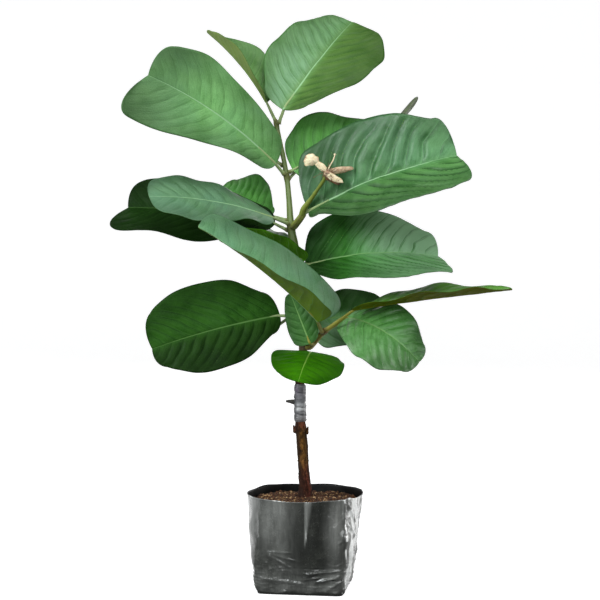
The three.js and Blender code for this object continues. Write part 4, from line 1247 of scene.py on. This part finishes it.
def make_bag():
    columns, rows, rows_in = 400, 132, 44
    even = turns(columns)
    angle = even + 0.45 * np.cos(even)
    middle = bag_plan(angle, 45.0)
    steps = np.linalg.norm(np.roll(middle, -1, axis=0) - middle, axis=1)
    run = np.concatenate([[0], np.cumsum(steps)[:-1]])
    total = steps.sum()
    around = (run - np.interp(0.75 * TURN, angle, run) + total / 2) % total - total / 2

    def wall(z, inset):
        plan, before, after = (bag_plan(angle + turn, z, 0.0, FACE_SHARPER) for turn in (0, -0.01, 0.01))
        along = unit(after - before)
        out = np.stack([along[..., 1], -along[..., 0]], -1)
        calm = smooth(z, 0.0, 1.6)
        stand = bag_relief(around, z, with_height(plan, z)) * calm - TUCK * (1 - calm) - inset
        return with_height(plan + out * stand[..., None], z)

    spike = 0.8 * hump(around - 41, 3.0)
    lip = BAG_HEIGHT - 0.5 + 0.9 * noise(with_height(middle, 0.0), 19, 5) + spike
    z_out = np.linspace(0, 1, rows)[:, None] ** 0.92 * lip
    outer = wall(z_out, 0.0)
    inner = wall(np.maximum(np.linspace(1, 0, rows_in)[:, None] * lip, FILM), FILM)
    under = with_height(outer[0, :, :2] * np.linspace(0, 1, 12)[1:-1, None, None], 0.0)
    floor_in = with_height(inner[-1, :, :2] * np.linspace(1, 0, 6)[1:-1, None, None], FILM)
    body = np.concatenate([under, outer, inner, floor_in])
    n, outside = len(body), len(under) + rows
    # the painted sheen and clouding, on the outside of the film only
    sheen_and_bloom = np.zeros((n, columns))
    sheen_and_bloom[len(under) : outside] = bag_sheen_and_bloom(around, z_out)
    last = (n - 1) * columns
    faces = [
        grid_faces(outside, columns, wrap=True),
        grid_faces(n - outside + 1, columns, wrap=True, start=(outside - 1) * columns),
        fan(n * columns, columns, 0, True),
        fan(n * columns + 1, columns, last),
    ]
    points = np.vstack([body.reshape(-1, 3), [[0, 0, 0]], [[0, 0, FILM]]])
    mesh = Shape()
    mesh.add(points, faces, [0, 1, 0, 1], sheen_and_bloom=np.append(sheen_and_bloom, [0.0, 0.0]))
    mesh.build("bag_film_folded", [FILM_SKIN, INSIDE_SKIN], replaces=["nursery_bag"])


def soil_height(x, y):
    share = np.clip(np.hypot(x, y) / 40.0, 0, 1)
    mound = lerp(MIX_TOP - 0.2, MIX_EDGE, smooth(share, 0.15, 1.0))
    return mound + 0.9 * rough(flat_points(x, y, 0.0), 7.0, 71, 3) * smooth(share, 0.1, 0.25)


def make_soil():
    columns, rings = 200, 64
    angle = turns(columns)
    edge = bag_plan(angle, MIX_EDGE, 2.3) * np.linspace(0, 1, rings + 1)[1:, None, None]
    depth = np.array([58.0, 50.0, 40.0, 25.0, 10.0, 2.0])[:, None]
    top = with_height(edge, soil_height(edge[..., 0], edge[..., 1]))
    body = np.concatenate([top, with_height(bag_plan(angle, depth, 2.3), depth)])
    ends = [[0, 0, float(soil_height(0.0, 0.0))], [0, 0, 2.0]]
    mesh = Shape()
    mesh.add(np.vstack([body.reshape(-1, 3), ends]), closed_faces(len(body), columns, flip=True))
    mesh.build("soil_top", [SOIL_SKIN], replaces=["potting_mix"])


def random_spin(draw):
    q = draw.normal(size=4)
    w, *v = q / np.linalg.norm(q)
    x, y, z = v
    cross = np.array([[0, -z, y], [z, 0, -x], [-y, x, 0]])
    return np.eye(3) + 2 * w * cross + 2 * cross @ cross


def make_crumbs():
    draw = np.random.default_rng(11)
    crumbs = Shape()
    for k in range(4200):
        angle, r = draw.uniform(0, TURN), math.sqrt(draw.uniform(0.012, 1))
        x, y = bag_plan(angle, MIX_EDGE, 3.2) * r
        if math.hypot(x, y) < 5.6:
            continue
        size = draw.uniform(0.3, 0.75) * draw.uniform(0.6, 1.7)
        z = soil_height(x, y) + size * draw.uniform(0.05, 0.6)
        kind = draw.uniform()
        slot = 0 if kind < 0.4 else 1 if kind < 0.85 else 2
        sizes = size * draw.uniform(0.6, 1.25, 3)
        add_blob(crumbs, (x, y, z), sizes, k % 97, 3, 6, 0.5, random_spin(draw), slot)
    crumbs.build("soil_crumbs", [SOIL_SKIN, CRUMB_SKIN, SPECK_SKIN], smooth_faces=False)
    fibres = Shape()
    t = np.linspace(0, 1, 9)
    for k in range(260):
        angle, r = draw.uniform(0, TURN), math.sqrt(draw.uniform(0.03, 1))
        x, y = bag_plan(angle, MIX_EDGE, 4.0) * r
        if math.hypot(x, y) < 7.5:
            continue
        way, length = draw.uniform(0, TURN), draw.uniform(2.0, 6.5)
        head = way + draw.uniform(-1.2, 1.2) * t
        arch = 0.7 * draw.uniform(0.2, 1) * np.sin(np.pi * t) - 0.3
        reach = length * (t - 0.5)
        path = flat_points(x + reach * np.cos(head), y + reach * np.sin(head), soil_height(x, y) + 0.7 + arch)
        if np.hypot(path[:, 0], path[:, 1]).max() < 38.5:
            add_tube(fibres, path, draw.uniform(0.1, 0.2) * (1 - 0.5 * t), 5, slot=int(draw.uniform() < 0.3))
    fibres.build("soil_fibres", [CRUMB_SKIN, SPECK_SKIN])


# ---------------------------------------------------------------- the withered flower
def add_petal(mesh, centre, size, tilt, cup, seed, slot, uneven=0.06):
    """One dried petal: a thin cupped sheet with a crinkled, turned-up margin."""
    rings, sides = 15, 44
    r = np.linspace(0, 1, rings + 1)[1:][:, None]
    a = turns(sides)
    outline = 1 + uneven * np.sin(3 * a + seed) + 0.6 * uneven * np.sin(7 * a + 2.1 * seed)
    x, z = r * np.cos(a) * size[0] * outline, r * np.sin(a) * size[2] * outline
    crinkle = 0.22 * rough(flat_points(x, 0.0, z), 3.6, seed, 2) * r + 0.22 * np.sin(5 * a + seed) * r**5
    y = cup * (r**2 - 0.45) + crinkle
    both = [y - 0.14, y + 0.14]
    n = rings * sides
    last = n - sides + np.arange(sides)
    after = np.roll(last, -1)
    faces = [
        grid_faces(rings, sides, wrap=True, flip=True), grid_faces(rings, sides, wrap=True, start=n),
        fan(2 * n, sides), fan(2 * n + 1, sides, n, True), np.stack([last, n + last, n + after, after], -1),
    ]
    sheets = [flat_points(x, y, z).reshape(-1, 3) for y in both]
    points = np.vstack(sheets + [[[0, y[0].mean(), 0]] for y in both])
    c, s = math.cos(math.radians(tilt)), math.sin(math.radians(tilt))
    spin = np.array([[c, 0, s], [0, 1, 0], [-s, 0, c]])
    edge = np.append(np.tile(np.repeat(r.ravel(), sides), 2), [0.0, 0.0])
    mesh.add(points @ spin.T + np.array(centre, float), faces, slot, edge=edge)


def make_flower():
    mesh = Shape()
    cup = [16.2, -29.5, 306.5]
    stalk = Curve([[-2.2, -5.2, 278.2], [-1.0, -8.2, 282.0], [4, -13, 288.5], [13.5, -27, 302], cup])
    t = np.linspace(0, 1, 80)
    radius = lerp(2.3, 1.3, smooth(t, 0, 0.6)) + 0.8 * smooth(t, 0.84, 1.0) + 0.25 * hump(t - 0.52, 0.03)
    add_tube(mesh, stalk.at(t), radius, 28, slot=1)
    add_petal(mesh, (4.4, -31, 316.6), (5.6, 1.4, 4.4), -14, 1.5, 3, 0, 0.1)
    add_petal(mesh, (11.2, -30.5, 312.4), (6.2, 1.6, 2.5), 38, 0.8, 5, 0)
    add_petal(mesh, (25.2, -30, 309.4), (9.8, 1.8, 2.5), -9, 1.2, 8, 2)
    add_petal(mesh, (20.5, -32, 303.9), (7.8, 1.4, 2.5), 28, 1.0, 13, 0)
    add_petal(mesh, (19.6, -31.2, 302.6), (6.4, 1.4, 2.2), 34, 0.9, 33, 4)
    add_petal(mesh, (3.6, -29.4, 317.3), (4.4, 1.2, 3.6), 24, -1.6, 21, 2)
    add_blob(mesh, cup, (3.0, 3.0, 2.7), 77, 14, 22, 0.14, slot=3)
    draw = np.random.default_rng(5)
    for k in range(64):
        way = draw.uniform(0, TURN)
        foot = [16.4 + 1.8 * math.cos(way), -30.2 + 0.6 * draw.normal(), 306.8 + 1.2 * math.sin(way)]
        foot = np.array(foot)
        drop = np.array([2.2 + 2.6 * draw.normal(), -1.4 + 0.7 * draw.normal(), -3.6 + 1.5 * draw.normal()])
        if k % 3 == 0:
            drop = np.array([3.5 * draw.normal(), -1.8, 2.0 + 2.0 * draw.normal()])
        route = Curve([foot, foot + 0.5 * drop + 0.5 * draw.normal(size=3), foot + drop], 12)
        w = np.linspace(0, 1, 9)
        add_tube(mesh, route.at(w), 0.13 + 0.16 * smooth(w, 0.85, 1.0), 5, slot=4)
    style = Curve([cup, [17.6, -31.0, 311.5], [20.4, -31.4, 316.5], [21.8, -31, 321]])
    w = np.linspace(0, 1, 40)
    add_tube(mesh, style.at(w), lerp(0.62, 0.42, w) + 0.5 * smooth(w, 0.9, 0.99), 14, slot=0)
    materials = [PETAL_SKIN, STALK_SKIN, BLUSH_SKIN, CUP_SKIN, FRINGE_SKIN]
    mesh.build("flower_dried", materials, replaces=["withered_flower"])


# ---------------------------------------------------------------- stage, light and camera
def make_stage():
    """A pale bowl in two halves. The near one is kept out of mirrors, as it would wash out the film."""
    flat, bend, top, sides = 2300.0, 700.0, 3200.0, 72
    arc = np.linspace(0, math.pi / 2, 16)
    radius = np.concatenate([[60.0, 400.0, 1200.0], flat + bend * np.sin(arc), [flat + bend]])
    height = np.concatenate([[0.0, 0.0, 0.0], bend - bend * np.cos(arc), [top]])
    p = Paint("floor_paper", 0.9, Emission_Color=(1, 1, 1, 1), Emission_Strength=0.78)
    p.body = p.mix(p.span(p.grain(p.here(), 40.0, 3.0), 0.3, 0.7), (0.5, 0.5, 0.5), (0.53, 0.53, 0.53))
    paper = p.done()
    for name, start in (("floor_near", math.pi), ("floor_sweep", 0.0)):
        angle = start + np.linspace(0, math.pi, sides + 1)
        ring = np.stack([np.cos(angle), np.sin(angle), 0 * angle], -1)
        rows = ring[None] * radius[:, None, None] + height[:, None, None] * np.array([0, 0, 1])
        points = np.vstack([rows.reshape(-1, 3), [[0, 0, 0]]])
        k = np.arange(sides)
        middle = np.stack([np.full(sides, len(points) - 1), k, k + 1], -1)
        faces = grid_faces(len(radius), sides + 1, flip=True).tolist() + middle.tolist()
        mesh = bpy.data.meshes.new(name)
        mesh.from_pydata((points * MM).tolist(), [], faces)
        mesh.polygons.foreach_set("use_smooth", [True] * len(mesh.polygons))
        mesh.materials.append(paper)
        floor = bpy.data.objects.new(name, mesh)
        bpy.context.scene.collection.objects.link(floor)
        floor.visible_diffuse = False
        floor.visible_glossy = name == "floor_sweep"


def area_light(name, place, target, size, power, colour=(1, 1, 1)):
    light = bpy.data.lights.new(name, "AREA")
    light.shape = "RECTANGLE"
    light.size, light.size_y = size
    light.energy = power
    light.color = colour
    lamp = bpy.data.objects.new(name, light)
    lamp.location = place
    way = np.subtract(target, place)
    pitch = math.atan2(math.hypot(way[0], way[1]), -way[2])
    lamp.rotation_euler = (pitch, 0, math.atan2(way[1], way[0]) - math.pi / 2)
    bpy.context.scene.collection.objects.link(lamp)


def make_light():
    scene = bpy.context.scene
    world = bpy.data.worlds.new("studio")
    scene.world = world
    world.use_nodes = True
    background = next(n for n in world.node_tree.nodes if n.type == "BACKGROUND")
    background.inputs["Color"].default_value = (0.97, 0.985, 1.0, 1)
    background.inputs["Strength"].default_value = 0.17
    area_light("window", (-1.3, -0.95, 0.95), (0, 0, 0.26), (0.8, 0.8), 32, (0.93, 0.98, 1.0))
    area_light("top_box", (0.1, -0.6, 1.5), (0, 0, 0.25), (0.8, 0.8), 13)
    area_light("front_box", (0.35, -1.9, 0.75), (0, 0, 0.25), (1.2, 1.0), 15, (0.96, 0.99, 1.0))
    area_light("right_strip", (1.1, 0.12, 0.22), (0, 0, 0.06), (0.35, 0.7), 5)
    area_light("back_fill", (0.5, 1.9, 0.8), (0, 0, 0.25), (1.4, 1.0), 9)
    scene.view_settings.view_transform = "Standard"
    scene.view_settings.look = "None"
    scene.view_settings.exposure = 0.0


FOCAL = 1373.0  # in picture widths of 600
PICTURE = 600.0
AXIS_ABOVE_MIDDLE = 34.66
CAMERA_PLACE = (-3.75, -1030.0, 240.0)


def make_camera():
    camera = bpy.data.cameras.new("camera")
    camera.sensor_width = 36.0
    camera.sensor_height = 36.0
    camera.lens = FOCAL / PICTURE * camera.sensor_width
    camera.shift_y = -AXIS_ABOVE_MIDDLE / PICTURE
    camera.clip_start = 0.01
    camera.clip_end = 20.0
    eye = bpy.data.objects.new("camera", camera)
    eye.location = [MM * v for v in CAMERA_PLACE]
    eye.rotation_euler = (math.pi / 2, 0, 0)
    bpy.context.scene.collection.objects.link(eye)
    bpy.context.scene.camera = eye


# ---------------------------------------------------------------- the whole
PETIOLE_SKIN = stem_surface("petiole", (0.26, 0.35, 0.15), (0.17, 0.24, 0.08), (0.13, 0.13, 0.04))
OLIVE_PETIOLE_SKIN = stem_surface(
    "olive_petiole", (0.24, 0.23, 0.035), (0.16, 0.15, 0.025), (0.16, 0.13, 0.03),
)
BARK_SKIN = bark_surface()
STUB_SKIN = stem_surface("stub_bark", (0.05, 0.048, 0.045), (0.03, 0.028, 0.026), (0.06, 0.05, 0.04), 0.8)
TAPE_SKIN = tape_surface()
GREEN_SKIN = stem_surface("green_bark", (0.165, 0.22, 0.092), (0.09, 0.135, 0.03), (0.1, 0.11, 0.03), 0.6)
OLIVE_SKIN = stem_surface("olive_bark", (0.22, 0.2, 0.03), (0.14, 0.11, 0.022), (0.09, 0.055, 0.015))
STALK_SKIN = stem_surface("flower_stalk", (0.17, 0.21, 0.035), (0.13, 0.15, 0.022), (0.2, 0.14, 0.05))
TWIG_SKIN = stem_surface("twig_bark", (0.15, 0.18, 0.035), (0.1, 0.11, 0.02), (0.08, 0.06, 0.015))
FILM_SKIN = film_surface()
INSIDE_SKIN = plain_film()
SOIL_SKIN = soil_surface("soil_brown", (0.018, 0.006, 0.002), (0.066, 0.023, 0.0075), (0.15, 0.068, 0.022))
CRUMB_SKIN = soil_surface("soil_red", (0.042, 0.015, 0.005), (0.12, 0.045, 0.013), (0.24, 0.11, 0.042))
SPECK_SKIN = soil_surface("soil_beige", (0.24, 0.13, 0.055), (0.42, 0.26, 0.12), (0.56, 0.42, 0.24))
PETAL_SKIN = petal_surface("petal_cream", (0.78, 0.66, 0.45), (0.52, 0.36, 0.2))
BLUSH_SKIN = petal_surface("petal_blush", (0.5, 0.38, 0.24), (0.25, 0.14, 0.08))
CUP_SKIN = petal_surface("flower_cup", (0.42, 0.26, 0.16), (0.16, 0.09, 0.05))
FRINGE_SKIN = petal_surface("flower_fringe", (0.16, 0.08, 0.035), (0.05, 0.022, 0.01))

make_camera()
make_stage()
make_light()
make_bag()
make_soil()
make_crumbs()
make_trunk()
make_tape()
make_shoot("main_shoot", GREEN_SKIN)
make_shoot("front_shoot", OLIVE_SKIN, 0.03)
make_shoot("side_shoot", TWIG_SKIN, 0.03)
make_flower()
for leaf_index, leaf_name in enumerate(LEAVES):
    make_leaf(leaf_index, leaf_name)
